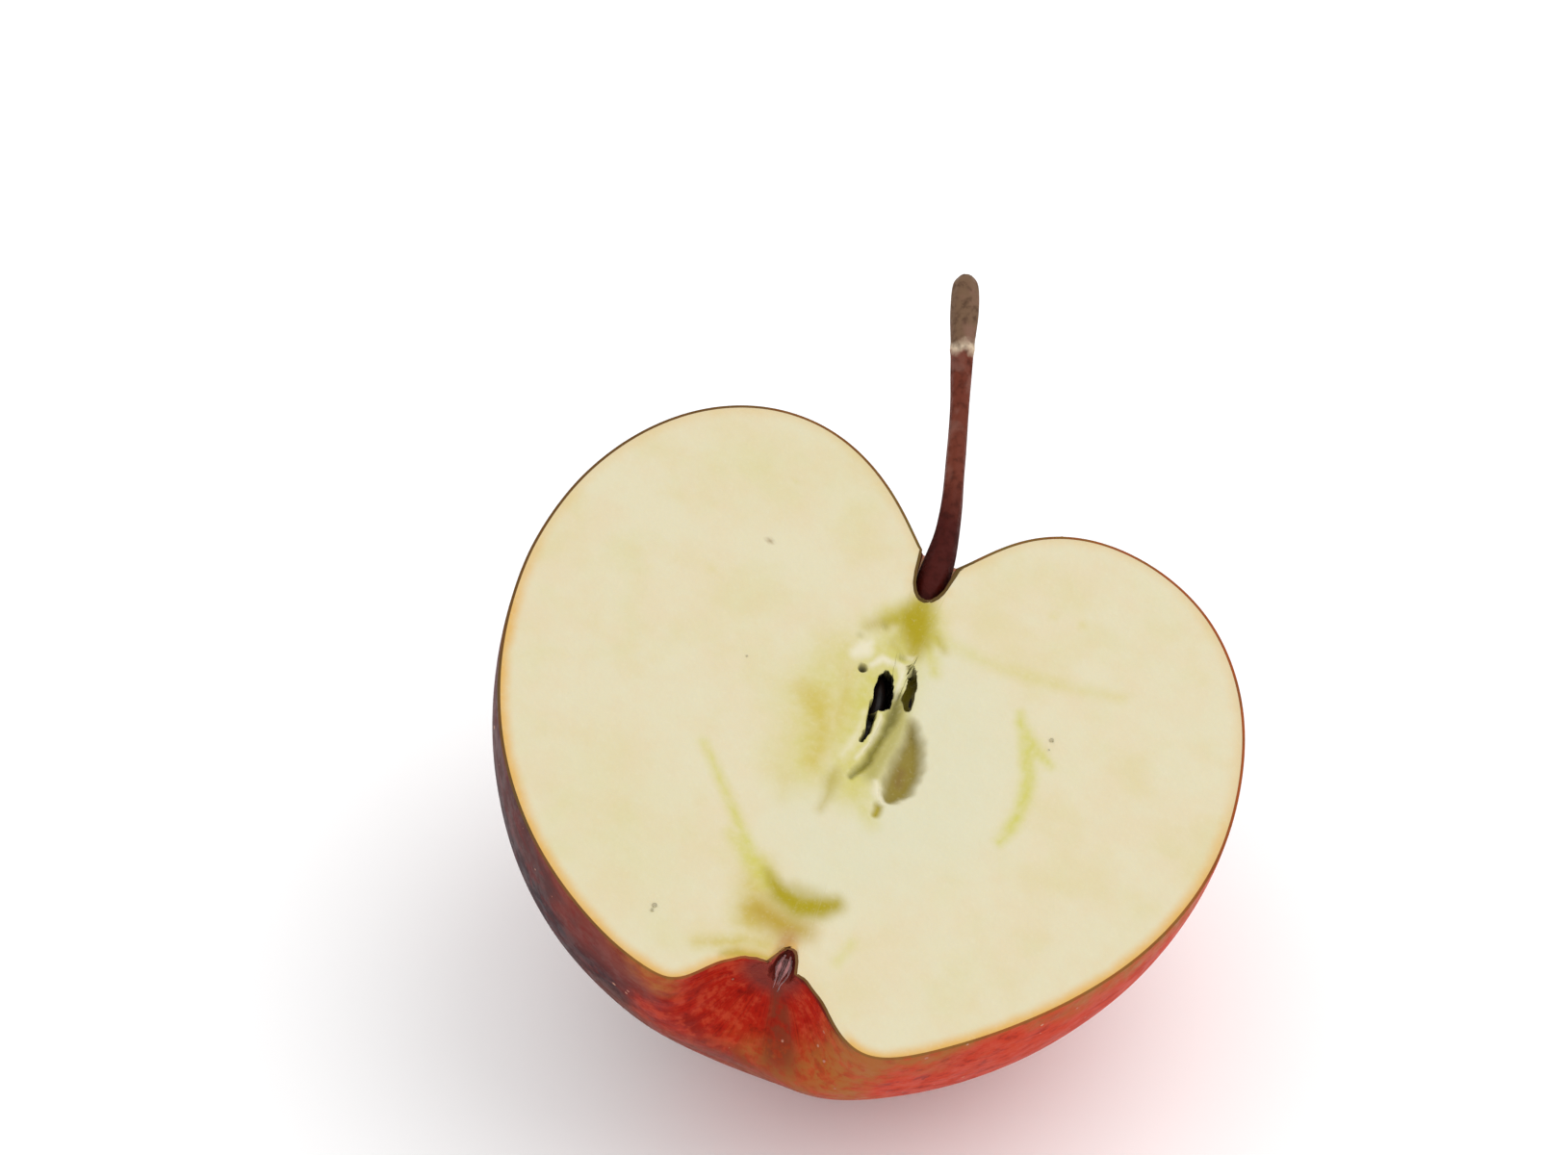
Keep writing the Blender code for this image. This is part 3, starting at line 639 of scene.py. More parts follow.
class Layout:
    """A short way to lay out the nodes of one material, shader group or Geometry Nodes tree."""

    def __init__(self, tree):
        self.tree = tree

    def put(self, target, source):
        """Feeds an input socket from an output socket, a number, a colour or a vector."""
        if isinstance(source, bpy.types.NodeSocket):
            self.tree.links.new(source, target)
        elif target.type == "RGBA":
            target.default_value = (*source, 1.0)
        else:
            target.default_value = source

    def fill(self, node, inputs):
        for key, source in inputs.items():
            self.put(node.inputs[key], source)

    def add(self, kind, inputs=None, **settings):
        """A new node with its settings, and its inputs fed by name or number; gives its outputs."""
        node = self.tree.nodes.new(kind)
        for key, value in settings.items():
            setattr(node, key, value)
        self.fill(node, inputs or {})
        return node.outputs

    def coordinates(self):
        return self.add("ShaderNodeTexCoord")["Object"]

    def value(self, name):
        return self.add("ShaderNodeAttribute", attribute_name=name)["Fac"]

    def noise(self, vector, scale, detail=3.0, roughness=0.5):
        return self.add("ShaderNodeTexNoise", {"Vector": vector, "Scale": scale, "Detail": detail,
                                               "Roughness": roughness})["Fac"]

    def math(self, operation, first, second=0.0):
        return self.add("ShaderNodeMath", {0: first, 1: second}, operation=operation)[0]

    def times(self, *shares):
        product = shares[0]
        for share in shares[1:]:
            product = self.math("MULTIPLY", product, share)
        return product

    def spread(self, value, low, high, to_low=0.0, to_high=1.0):
        """Maps a value from one range to another, smoothly and without overshoot."""
        return self.add("ShaderNodeMapRange", {"Value": value, "From Min": low, "From Max": high,
                                               "To Min": to_low, "To Max": to_high},
                        interpolation_type="SMOOTHSTEP")["Result"]

    def blend(self, share, first, second):
        return self.add("ShaderNodeMix", {0: share, 6: first, 7: second}, data_type="RGBA")[2]

    def bump(self, height, strength, distance):
        return self.add("ShaderNodeBump", {"Height": height, "Strength": strength,
                                           "Distance": distance})["Normal"]

    def ramp(self, value, stops):
        node = self.tree.nodes.new("ShaderNodeValToRGB")
        self.put(node.inputs["Fac"], value)
        elements = node.color_ramp.elements
        while len(elements) < len(stops):
            elements.new(0.5)
        for element, (place, colour) in zip(elements, stops):
            element.position = place
            element.color = (*colour, 1.0)
        return node.outputs["Color"]


def new_finish(name):
    """A material, the helper that lays out its nodes, and its place in object coordinates."""
    finish = bpy.data.materials.new(name)
    finish.use_nodes = True
    lay = Layout(finish.node_tree)
    return finish, lay, lay.coordinates()


def dress(finish, **inputs):
    """Feeds the material's Principled shader by the names of its sockets."""
    lay = Layout(finish.node_tree)
    sockets = finish.node_tree.nodes["Principled BSDF"].inputs
    for key, source in inputs.items():
        lay.put(sockets[key.replace("_", " ").title().replace("Ior", "IOR")], source)
    return finish


def new_tree(name, kind, inputs, outputs):
    """A node group with named inputs (name, kind, value) and outputs (name, kind)."""
    tree = bpy.data.node_groups.new(name, kind)
    for key, socket_kind, default in inputs:
        socket = tree.interface.new_socket(name=key, in_out="INPUT", socket_type=socket_kind)
        if default is not None:
            socket.default_value = default
    for key, socket_kind in outputs:
        tree.interface.new_socket(name=key, in_out="OUTPUT", socket_type=socket_kind)
    lay = Layout(tree)
    return tree, lay, lay.add("NodeGroupInput")


def tissue_group(name, output, scale):
    return new_tree(name, "ShaderNodeTree",
                    [("Vector", "NodeSocketVector", None), ("Scale", "NodeSocketFloat", scale)],
                    [(output, "NodeSocketFloat")])


def mottle_group():
    """Two sizes of soft patches, 0 to 1, as plant tissue has."""
    tree, lay, given = tissue_group("mottle", "Value", 100.0)
    large = lay.noise(given["Vector"], given["Scale"], detail=2.0)
    small = lay.noise(given["Vector"], lay.times(given["Scale"], 4.3), detail=4.0)
    mixed = lay.math("ADD", lay.times(large, 0.65), lay.times(small, 0.35))
    lay.add("NodeGroupOutput", {"Value": lay.spread(mixed, 0.36, 0.64)})
    return tree


def grain_group():
    """Height of a fine cellular grain over a softer uneven one."""
    tree, lay, given = tissue_group("grain", "Height", 1000.0)
    cells = lay.add("ShaderNodeTexVoronoi", {"Vector": given["Vector"], "Scale": given["Scale"]})
    soft = lay.noise(given["Vector"], lay.times(given["Scale"], 0.35), detail=4.0)
    height = lay.math("ADD", lay.times(cells["Distance"], 0.5), soft)
    lay.add("NodeGroupOutput", {"Height": height})
    return tree


GROUPS = {}


def placed_group(lay, maker, vector, scale):
    """Places a shared group in a material; the group itself is made once."""
    if maker not in GROUPS:
        GROUPS[maker] = maker()
    node = lay.tree.nodes.new("ShaderNodeGroup")
    node.node_tree = GROUPS[maker]
    lay.fill(node, {"Vector": vector, "Scale": scale})
    return node.outputs


def mottle(lay, vector, scale):
    return placed_group(lay, mottle_group, vector, scale)["Value"]


def grain(lay, vector, scale):
    return placed_group(lay, grain_group, vector, scale)["Height"]


def small_finish(name, patches, colours, noise_scale, roughness, cells=None, **constants):
    """A small piece's material: two colours in patches, uneven gloss and, with cells, a grain."""
    finish, lay, place = new_finish(name)
    if cells:
        scale, strength = cells
        constants["normal"] = lay.bump(grain(lay, place, scale), strength, 0.0001)
    return dress(finish, base_color=lay.blend(mottle(lay, place, patches), *colours),
                 roughness=lay.spread(lay.noise(place, noise_scale), 0.3, 0.7, *roughness),
                 **constants)


# The cut flesh

def stroke_gap(points, stroke):
    """Each point's gap to the stroke's edge, with the way out of it and the half width there."""
    gap = np.full(len(points), np.inf)
    way = np.zeros_like(points)
    width = np.ones(len(points))
    ends = stroke.points if len(stroke.points) > 1 else [stroke.points[0]] * 2
    for (x0, y0, w0), (x1, y1, w1) in zip(ends, ends[1:]):
        line = np.array([x1 - x0, y1 - y0])
        offset = points - np.array([x0, y0])
        share = np.clip(offset @ line / max(line @ line, 1e-9), 0.0, 1.0)
        reach = offset - share[:, None] * line
        half_width = w0 + (w1 - w0) * share
        new_gap = np.linalg.norm(reach, axis=1) - half_width
        nearer = new_gap < gap
        gap = np.where(nearer, new_gap, gap)
        way = np.where(nearer[:, None], reach, way)
        width = np.where(nearer, half_width, width)
    return gap, unit(way), width


def undercut(gap, width, stroke):
    """How far points in a pocket move outwards and down, along a rounded wall."""
    inward = np.clip(-gap / width, 0.0, 1.0)
    full = width + stroke.bulge
    lip = np.arcsin(width / full)
    deep = stroke.depth / (1.0 + np.cos(lip))
    turn = lip + (math.pi - lip) * inward
    aside = full * np.sin(turn) - (width + np.minimum(gap, 0.0))
    down = deep * (np.cos(lip) - np.cos(turn))
    inside = gap < 0.0
    return np.where(inside, aside, 0.0), np.where(inside, down, 0.0)


def noise_at(points, size, layer):
    """Soft noise over the cut face, in lumps of this size."""
    return np.array([noise.noise(Vector((x / size, y / size, layer))) for x, y in points])


def face_marks(points):
    """The colour shares of every kind of mark, and how each point of the face is moved."""
    shares = {kind: np.zeros(len(points)) for kind in MARK_KINDS}
    wander = np.stack([noise_at(points, EDGE_WANDER_SIZE, 3.0),
                       noise_at(points, EDGE_WANDER_SIZE, 9.0)], axis=1)
    moved = points + EDGE_WANDER * wander
    down = np.zeros(len(points))
    raised = np.zeros(len(points))
    aside = np.zeros((len(points), 2))
    for stroke in FACE_MARKS:
        gap, way, width = stroke_gap(moved, stroke)
        share = smooth_step(0.5 - gap / (2.0 * stroke.soft))
        shares[stroke.kind] = np.maximum(shares[stroke.kind], share * stroke.strength)
        if stroke.bulge:
            out, deeper = undercut(gap, width, stroke)
            lean = deeper * -math.tan(math.radians(stroke.lean))
            aside += way * out[:, None] + lean[:, None] * np.array([1.0, 0.0])
            down = np.maximum(down, deeper)
        else:
            down = np.maximum(down, share * stroke.depth)
        raised = np.minimum(raised, share * stroke.depth)
    return shares, aside, down + raised * (down < 0.02)


def face_texture(points):
    """Slow knife waves and the open grain of the flesh."""
    return (KNIFE_WAVE * noise_at(points, KNIFE_WAVE_SIZE, 1.0)
            + GRAIN_HEIGHT * noise_at(points, GRAIN_SIZE, 5.0))


def cut_flesh_mesh(skin_thickness):
    tuck = FLESH_TUCK * skin_thickness
    back = inside_skin(tuck)
    rows, columns = back.shape[:2]
    points = [back.reshape(-1, 3)]
    faces = grid_faces(0, rows, columns)
    first, last = SKIN.first_open, SKIN.last_open
    loop = [row * columns for row in range(first, last + 1)]
    loop += [row * columns + columns - 1 for row in range(last - 1, first, -1)]
    rim = points[0][loop]
    centre = np.array([*FACE_CENTRE, 0.0])
    shares = np.concatenate([np.linspace(0.0, CORE_SHARE, CORE_ROWS, endpoint=False)[1:],
                             np.linspace(CORE_SHARE, EDGE_ROWS[0], OUTER_ROWS, endpoint=False),
                             EDGE_ROWS])[::-1]
    grid = centre + (rim - centre)[None] * shares[:, None, None]
    face = grid.reshape(-1, 3)
    flat = np.vstack([face, centre])[:, :2]
    marks, aside, down = face_marks(flat)
    height = face_texture(flat) - down
    tree = kdtree.KDTree(len(rim))
    for index, point in enumerate(rim):
        tree.insert(Vector(point), index)
    tree.balance()
    rim_gap = np.array([tree.find(Vector((x, y, 0.0)))[2] for x, y in flat])
    height = height * smooth_step(rim_gap / RIM_FADE) - RIM_DROP
    start = len(points[0])
    points.append(np.column_stack([flat + aside, height]))
    count = len(rim)
    rings = [loop] + [[start + row * count + column for column in range(count)]
                      for row in range(len(shares))]
    for outer, inner in zip(rings, rings[1:]):
        for column in range(count):
            following = (column + 1) % count
            faces.append((outer[column], outer[following], inner[following], inner[column]))
    hub = start + len(shares) * count
    inner = rings[-1]
    faces += [(inner[column], inner[(column + 1) % count], hub) for column in range(count)]
    everything = np.vstack(points)
    values = {kind: np.concatenate([np.zeros(start), marks[kind]]) for kind in MARK_KINDS}
    values["rim_gap"] = np.concatenate([np.zeros(start), rim_gap])
    values["across"] = everything[:, 0] / LEFT_SIDE.radius
    values["along"] = everything[:, 1] / LEFT_SIDE.radius
    mesh = built_mesh("cut_flesh", everything, faces, values=values, sharp=50.0)
    keep_above(mesh, tuck * MM)
    return mesh


def flesh_finish(settings):
    finish, lay, place = new_finish("cut_flesh")
    spread = lay.spread
    across = lay.value("across")
    along = lay.value("along")
    colour = lay.blend(mottle(lay, place, 160.0), settings.base, settings.warm)
    green = spread(lay.noise(place, 150.0, detail=4.0), 0.45, 0.72, 0.0, 0.16)
    colour = lay.blend(green, colour, settings.haze)
    # The fringe just inside the skin, faint by the stem and on the blossom basin's right wall
    reach = lay.math("ADD", lay.value("rim_gap"), lay.times(lay.noise(place, 350.0), 0.8))
    near_rim = spread(reach, 0.3, settings.fringe_width + 0.6, 1.0, 0.0)
    warmth = spread(along, -0.15, 0.35, 0.9, 0.25)
    bare = lay.times(spread(across, 0.02, 0.05), spread(across, 0.26, 0.20),
                     spread(along, -0.55, -0.66))
    fringe = lay.times(near_rim, warmth, spread(bare, 0.0, 1.0, 1.0, 0.15))
    # The husk, groove, crescent and pocket colours are painted shade of their hollows
    for kind in MARK_KINDS:
        share = lay.value(kind)
        if kind in STREAKY_KINDS:
            streaks = lay.noise(place, 900.0, detail=4.0)
            share = lay.times(share, spread(streaks, 0.3, 0.7, 0.7, 1.0))
        colour = lay.blend(share, colour, getattr(settings, kind))
        if kind == "pale":
            colour = lay.blend(fringe, colour, settings.fringe)
    flecks = spread(lay.noise(place, 2600.0, detail=2.0), 0.55, 0.75, 0.0, 0.10)
    return dress(finish, base_color=lay.blend(flecks, colour, tone(244, 236, 208)),
                 roughness=spread(mottle(lay, place, 420.0), 0.0, 1.0, 0.38, 0.58),
                 normal=lay.bump(grain(lay, place, 1900.0), 0.22, 0.0002),
                 specular_ior_level=0.20, subsurface_weight=0.08,
                 subsurface_radius=(1.0, 0.7, 0.35), subsurface_scale=0.001)


class OBJECT_OT_cut_flesh(bpy.types.Operator):
    """Make the cut flesh with its core, grain and vascular lines"""

    bl_idname = "apple_half.cut_flesh"
    bl_label = "Cut flesh"

    def execute(self, context):
        settings = context.scene.apple_flesh
        thickness = context.scene.apple_skin.thickness / MM
        piece = new_piece("cut_flesh", cut_flesh_mesh(thickness), flesh_finish(settings))
        hand_over(piece, "flesh", "fruit_half")
        return {"FINISHED"}


# The skin

def skin_mesh(thickness):
    rows = len(SKIN.points)
    columns = INNER_COLUMNS
    points = np.vstack([SKIN.points.reshape(-1, 3), inside_skin(thickness).reshape(-1, 3)])
    start = rows * RING_POINTS
    outer_faces = grid_faces(0, rows, RING_POINTS)
    hidden_faces = grid_faces(start, rows, len(columns))
    for row in range(SKIN.first_open, SKIN.last_open):
        for outer, inside in ((0, 0), (RING_POINTS - 1, len(columns) - 1)):
            a = row * RING_POINTS + outer
            b = start + row * len(columns) + inside
            hidden_faces.append((a, a + RING_POINTS, b + len(columns), b))
    turn = np.concatenate([SKIN.turn.ravel(), SKIN.turn[:, columns].ravel()])
    around = np.concatenate([SKIN.around.ravel(), SKIN.around[:, columns].ravel()])
    out = np.hypot(points[:, 0], points[:, 2] + CUT_OFFSET)
    values = {"out": out, "turn_share": turn / math.pi, "rightward": np.cos(around),
              "left": (1.0 - points[:, 0] / LEFT_SIDE.radius) / 2.0, "below_rim": -points[:, 2],
              "meridian": np.stack([np.cos(around), np.sin(around), turn], axis=1)}
    mesh = built_mesh("fruit_skin", points, outer_faces + hidden_faces, values=values, sharp=50.0,
                      finishes=[0] * len(outer_faces) + [1] * len(hidden_faces))
    keep_above(mesh, 0.0)
    return mesh


def skin_colour(lay, place, settings):
    """Ember on the right, crimson in front and plum on the left, streaked from end to end; lighter on
    the lit right and darker under the left rim, partly the skin's own colour and partly painted light
    and shade.
    """
    times, spread = lay.times, lay.spread
    meridian = lay.add("ShaderNodeAttribute", attribute_name="meridian")["Vector"]
    stretched = lay.add("ShaderNodeVectorMath", {0: meridian, 1: STREAK_STRETCH},
                        operation="MULTIPLY")[0]
    streaks = lay.noise(stretched, 16.0, detail=6.0, roughness=0.62)
    fine = lay.noise(stretched, 42.0, detail=4.0, roughness=0.6)
    patches = lay.noise(place, 90.0, detail=4.0)
    cloud = lay.noise(place, 110.0)
    net = lay.noise(place, 800.0, detail=6.0, roughness=0.65)
    flecks = lay.noise(place, 620.0, detail=5.0, roughness=0.65)
    turn, depth, out, rightward = (lay.value(name) for name in ("turn_share", "below_rim", "out",
                                                                "rightward"))
    left = lay.math("ADD", lay.value("left"), spread(patches, 0.3, 0.7, -0.08, 0.08))
    # Where on the skin: further under on the left, where the painted shade deepens, and the two ends
    under = lay.math("ADD", left, times(depth, 0.006))
    far_left = lay.math("ADD", depth, spread(left, 0.74, 0.90, 0.0, 12.0))
    ragged = lay.math("ADD", depth, spread(cloud, 0.3, 0.7, 3.0, -1.0))
    front_side = spread(turn, 0.50, 0.72)
    lit_side = spread(left, 0.70, 0.54)
    blossom = spread(turn, 0.62, 0.84)
    basin = spread(turn, 0.90, 0.94)
    stem_end = spread(turn, 0.5, 0.4)
    aside = lay.math("ABSOLUTE", lay.math("SUBTRACT", rightward, STREAK_SIDE))
    colour = settings.ember
    for share, tint in [
        # The ground colours from right to left, partly the skin's own and partly painted light and
        # shade: lighter on the right where the light falls, darker further under the left rim
        (spread(left, 0.22, 0.46), settings.crimson),
        (spread(left, 0.54, 0.70), settings.sienna),
        (times(spread(under, 0.58, 0.78), spread(far_left, 1.5, 10.5),
               spread(depth, 14.0, 30.0, 1.0, 0.35), spread(front_side, 0.0, 1.0, 0.6, 1.0)),
         settings.plum),
        # Painted sheen of reflected light on the grazing left side near the rim, partly the skin's
        # waxy bloom
        (times(spread(left, 0.62, 0.74), spread(depth, 8.0, 3.0), front_side, 0.45), settings.bloom),
        # Streaks from end to end, and light flecks in the blossom basin, kept to the lit side
        (times(spread(streaks, 0.50, 0.68), lit_side, 0.45), settings.ember),
        (times(spread(fine, 0.50, 0.34), 0.45), settings.wine),
        (times(blossom, spread(flecks, 0.48, 0.62), lit_side, 0.65), settings.blush),
        (times(blossom, spread(flecks, 0.46, 0.34), 0.6), settings.wine),
        # Russet netting below the basin, along the rim and in the stem cavity
        (times(spread(turn, 0.80, 0.88), spread(turn, 0.955, 0.92), spread(left, 0.56, 0.46),
               spread(left, 0.26, 0.34), spread(cloud, 0.26, 0.42, 0.35, 1.0),
               spread(net, 0.38, 0.56, 0.4, 1.0)), settings.ochre),
        # Russet further under the front left: partly netting, partly painted shade of the underside
        (times(spread(depth, 8.0, 15.0), spread(left, 0.40, 0.54), spread(turn, 0.97, 0.92),
               spread(turn, 0.78, 0.86), spread(net, 0.36, 0.56, 0.4, 0.85)), settings.russet),
        (times(spread(ragged, 4.4, 0.8), spread(turn, 0.5, 0.62), spread(turn, 0.945, 0.92),
               spread(left, 0.76, 0.66), spread(net, 0.36, 0.6, 0.4, 1.0)), settings.ochre),
        (times(spread(turn, 0.30, 0.12), spread(net, 0.40, 0.62), 0.7), settings.ochre),
        # A dull streak that runs down from the dry flower, and the brown rim on its right
        (times(spread(aside, 0.36, 0.08), basin, spread(flecks, 0.36, 0.56, 0.15, 0.8)),
         settings.russet),
        (times(spread(depth, 1.3, 0.3), basin, spread(rightward, 0.3, 0.6), 0.75), settings.maroon),
        # Olive deep in the stem cavity, maroon round the stem's foot as painted shade of the cavity,
        # umber in the flower's tube
        (times(spread(out, 14.0, 4.0), stem_end, spread(net, 0.35, 0.60, 0.55, 1.0)), settings.olive),
        (times(spread(out, 4.2, 2.6), stem_end), settings.maroon),
        (times(spread(out, 4.0, 1.6), spread(turn, 0.6, 0.7), 0.8), settings.umber),
    ]:
        colour = lay.blend(share, colour, tint)
    return colour


def skin_finish(settings):
    finish, lay, place = new_finish("fruit_skin")
    return dress(finish, base_color=skin_colour(lay, place, settings),
                 roughness=lay.spread(mottle(lay, place, 500.0), 0.0, 1.0, 0.42, 0.56),
                 normal=lay.bump(grain(lay, place, 1500.0), 0.10, 0.0002),
                 specular_ior_level=0.05)


def skin_edge_finish(settings):
    """The skin's own cut edge: darker and more olive than its face."""
    finish, lay, place = new_finish("skin_edge")
    colour = skin_colour(lay, place, settings)
    return dress(finish, base_color=lay.blend(0.6, colour, tone(112, 92, 40)),
                 roughness=lay.spread(mottle(lay, place, 500.0), 0.0, 1.0, 0.45, 0.60),
                 specular_ior_level=0.10)


class OBJECT_OT_fruit_skin(bpy.types.Operator):
    """Make the waxy skin as a thin shell with its cut edge"""

    bl_idname = "apple_half.fruit_skin"
    bl_label = "Skin"

    def execute(self, context):
        settings = context.scene.apple_skin
        mesh = skin_mesh(settings.thickness / MM)
        piece = new_piece("fruit_skin", mesh, skin_finish(settings), skin_edge_finish(settings))
        hand_over(piece, "skin", "fruit_half")
        return {"FINISHED"}


# The stem

def smooth_line(points, steps):
    """Points on a smooth line through the given ones."""
    ends = [points[0]] + list(points) + [points[-1]]
    line = []
    for before, start, end, after in zip(ends, ends[1:], ends[2:], ends[3:]):
        a, b, c, d = (np.array(point, dtype=float) for point in (before, start, end, after))
        for step in range(steps):
            t = step / steps
            line.append(0.5 * (2.0 * b + (c - a) * t + (2.0 * a - 5.0 * b + 4.0 * c - d) * t ** 2
                               + (3.0 * b - a - 3.0 * c + d) * t ** 3))
    line.append(np.array(points[-1], dtype=float))
    return np.array(line)


def stem_mesh():
    line = smooth_line(STEM, STEM_STEPS)
    centres, radii = line[:, :3], line[:, 3] / 2.0
    travelled = np.concatenate([[0.0], np.cumsum(np.linalg.norm(np.diff(centres, axis=0), axis=1))])
    share = travelled / travelled[-1]
    ahead = unit(np.gradient(centres, axis=0))
    side = unit(np.cross(ahead, np.array([0.0, 0.0, 1.0])))
    up = np.cross(side, ahead)
    angles = np.linspace(0.0, 2.0 * math.pi, STEM_SIDES, endpoint=False)
    points = []
    shares = []
    for centre, radius, along, across, above in zip(centres, radii, share, side, up):
        ring = STEM_RING_HEIGHT * math.exp(-((along - STEM_RING_PLACE) / STEM_RING_WIDTH) ** 2)
        for angle in angles:
            ridge = STEM_RIDGE_HEIGHT * math.sin(STEM_RIDGES * angle + STEM_TWIST * along)
            around = Vector((math.cos(angle) * STEM_BARK_AROUND, math.sin(angle) * STEM_BARK_AROUND,
                             along * STEM_BARK_ALONG))
            bark = STEM_BARK_HEIGHT * noise.noise(around)
            size = radius * (1.0 - STEM_RIDGE_HEIGHT)
            size += min(radius, STEM_RELIEF_RADIUS) * (ridge + bark + ring)
            points.append(centre + size * (math.cos(angle) * across + math.sin(angle) * above))
            shares.append(along)
    rows = len(centres)
    faces = []
    for row in range(rows - 1):
        for column in range(STEM_SIDES):
            a = row * STEM_SIDES + column
            b = row * STEM_SIDES + (column + 1) % STEM_SIDES
            faces.append((a, b, b + STEM_SIDES, a + STEM_SIDES))
    faces.append(tuple(range(STEM_SIDES)))
    faces.append(tuple(range((rows - 1) * STEM_SIDES, rows * STEM_SIDES)))
    return built_mesh("stem_bark", points, faces, values={"stem_share": shares}, sharp=70.0)


def stem_finish(settings):
    finish, lay, place = new_finish("stem_bark")
    share = lay.value("stem_share")
    uneven = lay.math("ADD", share, lay.spread(lay.noise(place, 500.0), 0.0, 1.0, -0.03, 0.03))
    # Darker at the foot, where the stem sits in the cavity: partly the stem's own colour, partly
    # painted shade
    colour = lay.ramp(uneven, [(0.0, settings.foot), (0.26, settings.foot), (0.42, settings.middle),
                               (STEM_RING_PLACE - 0.02, settings.middle),
                               (STEM_RING_PLACE, settings.ring),
                               (STEM_RING_PLACE + 0.025, settings.tip), (1.0, settings.tip)])
    fibres = lay.noise(place, 1300.0, detail=5.0)
    colour = lay.blend(lay.spread(fibres, 0.45, 0.7, 0.0, 0.45), colour, tone(40, 16, 12))
    dust = lay.spread(lay.noise(place, 420.0), 0.48, 0.68, 0.0, 0.4)
    colour = lay.blend(lay.times(dust, lay.spread(share, 0.30, 0.5)), colour, tone(146, 104, 92))
    return dress(finish, base_color=colour, roughness=lay.spread(fibres, 0.3, 0.7, 0.5, 0.75),
                 normal=lay.bump(grain(lay, place, 2400.0), 0.35, 0.0002),
                 specular_ior_level=0.10)


class OBJECT_OT_stem(bpy.types.Operator):
    """Make the stem with its ridges, scar ring and knob"""

    bl_idname = "apple_half.stem"
    bl_label = "Stem"

    def execute(self, context):
        piece = new_piece("stem_bark", stem_mesh(), stem_finish(context.scene.apple_stem))
        hand_over(piece, "stem", "stem")
        return {"FINISHED"}


# Seeds

def ball_grid(sides, rings):
    """Angles of a ball's points, poles last."""
    turns = np.linspace(0.0, math.pi, rings + 1)
    arounds = np.linspace(0.0, 2.0 * math.pi, sides + 1)
    return np.meshgrid(turns, arounds, indexing="ij")


def seed_mesh(seed):
    """A flat drop with its point towards the stem and fine furrows from end to end."""
    turn, around = ball_grid(SEED_SIDES, SEED_RINGS)
    toward = np.cos(turn)
    narrow = (1.0 - SEED_TAPER * (toward + 1.0) / 2.0) * np.sin(turn)
    narrow = narrow * (1.0 - SEED_FURROW_DEPTH * (1.0 + np.cos(SEED_FURROWS * around)) / 2.0)
    local = np.stack([seed.half_width * narrow * np.cos(around), seed.half_length * toward,
                      -seed.half_depth * narrow * np.sin(around)], axis=-1)
    spin = np.array(Matrix.Rotation(math.radians(seed.turn), 3, "Z")
                    @ Matrix.Rotation(math.radians(seed.lean), 3, "Y"))
    points = local.reshape(-1, 3) @ spin.T + np.array([seed.x, seed.y, -seed.depth])
    faces = grid_faces(0, SEED_RINGS + 1, SEED_SIDES + 1)
    return built_mesh(seed.node + "_coat", points, faces)


def seed_finish(settings):
    return small_finish("seed_coat", 900.0, (settings.seed, tone(10, 4, 3)), 1500.0, (0.42, 0.58),
                        cells=(3000.0, 0.15), specular_ior_level=0.20)


class OBJECT_OT_seeds(bpy.types.Operator):
    """Make the two seeds that lie in the core's pockets"""

    bl_idname = "apple_half.seeds"
    bl_label = "Seeds"

    def execute(self, context):
        finish = seed_finish(context.scene.apple_small)
        for seed in SEEDS:
            piece = new_piece(seed.node + "_coat", seed_mesh(seed), finish)
            hand_over(piece, "seed", seed.node)
        return {"FINISHED"}


# Dry sepals

def sepal_points(index):
    """One dry sepal: a thin crumpled blade, folded round the axis and pointed at its tip."""
    middle = 2.0 * math.pi * index / SEPAL_COUNT + 0.3
    length = TUFT_LENGTH * (1.0 - 0.13 * (index % 3))
    points = []
    for side in (1.0, -1.0):
        for step in range(SEPAL_STEPS + 1):
            t = step / SEPAL_STEPS
            width = SEPAL_WIDTH * (0.35 + 0.9 * t) * (1.0 - t ** 1.6)
            for across in np.linspace(-1.0, 1.0, SEPAL_COLUMNS):
                crumple = 0.10 * noise.noise(Vector((across * 2.0, t * 6.0, 3.0 * index)))
                swell = 0.40 + 0.46 * math.sin(math.pi * min(1.1 * t + 0.1, 1.0))
                fold = 0.10 * (1.0 - abs(across)) * (1.0 - t)
                thick = side * SEPAL_THICKNESS / 2.0 * (1.0 - 0.7 * across ** 2) * (1.0 - 0.6 * t)
                reach = TUFT_RADIUS * (swell + fold) + crumple + thick
                turn = middle + across * width / 2.0 / TUFT_RADIUS
                points.append((TUFT_ACROSS + reach * math.cos(turn), TUFT_FOOT - 0.05 - length * t,
                               -TUFT_DEPTH - reach * math.sin(turn)))
    return points


def sepal_mesh():
    points = []
    faces = []
    rows, columns = SEPAL_STEPS + 1, SEPAL_COLUMNS
    for index in range(SEPAL_COUNT):
        start = len(points)
        points += sepal_points(index)
        offset = rows * columns
        faces += grid_faces(start, rows, columns)
        faces += [face[::-1] for face in grid_faces(start + offset, rows, columns)]
        edge = [start + column for column in range(columns)]
        edge += [start + row * columns + columns - 1 for row in range(1, rows)]
        edge += [start + (rows - 1) * columns + column for column in range(columns - 2, -1, -1)]
        edge += [start + row * columns for row in range(rows - 2, 0, -1)]
        for a, b in zip(edge, edge[1:] + edge[:1]):
            faces.append((a, b, b + offset, a + offset))
    return built_mesh("dry_sepals", points, faces, merge=0.002)


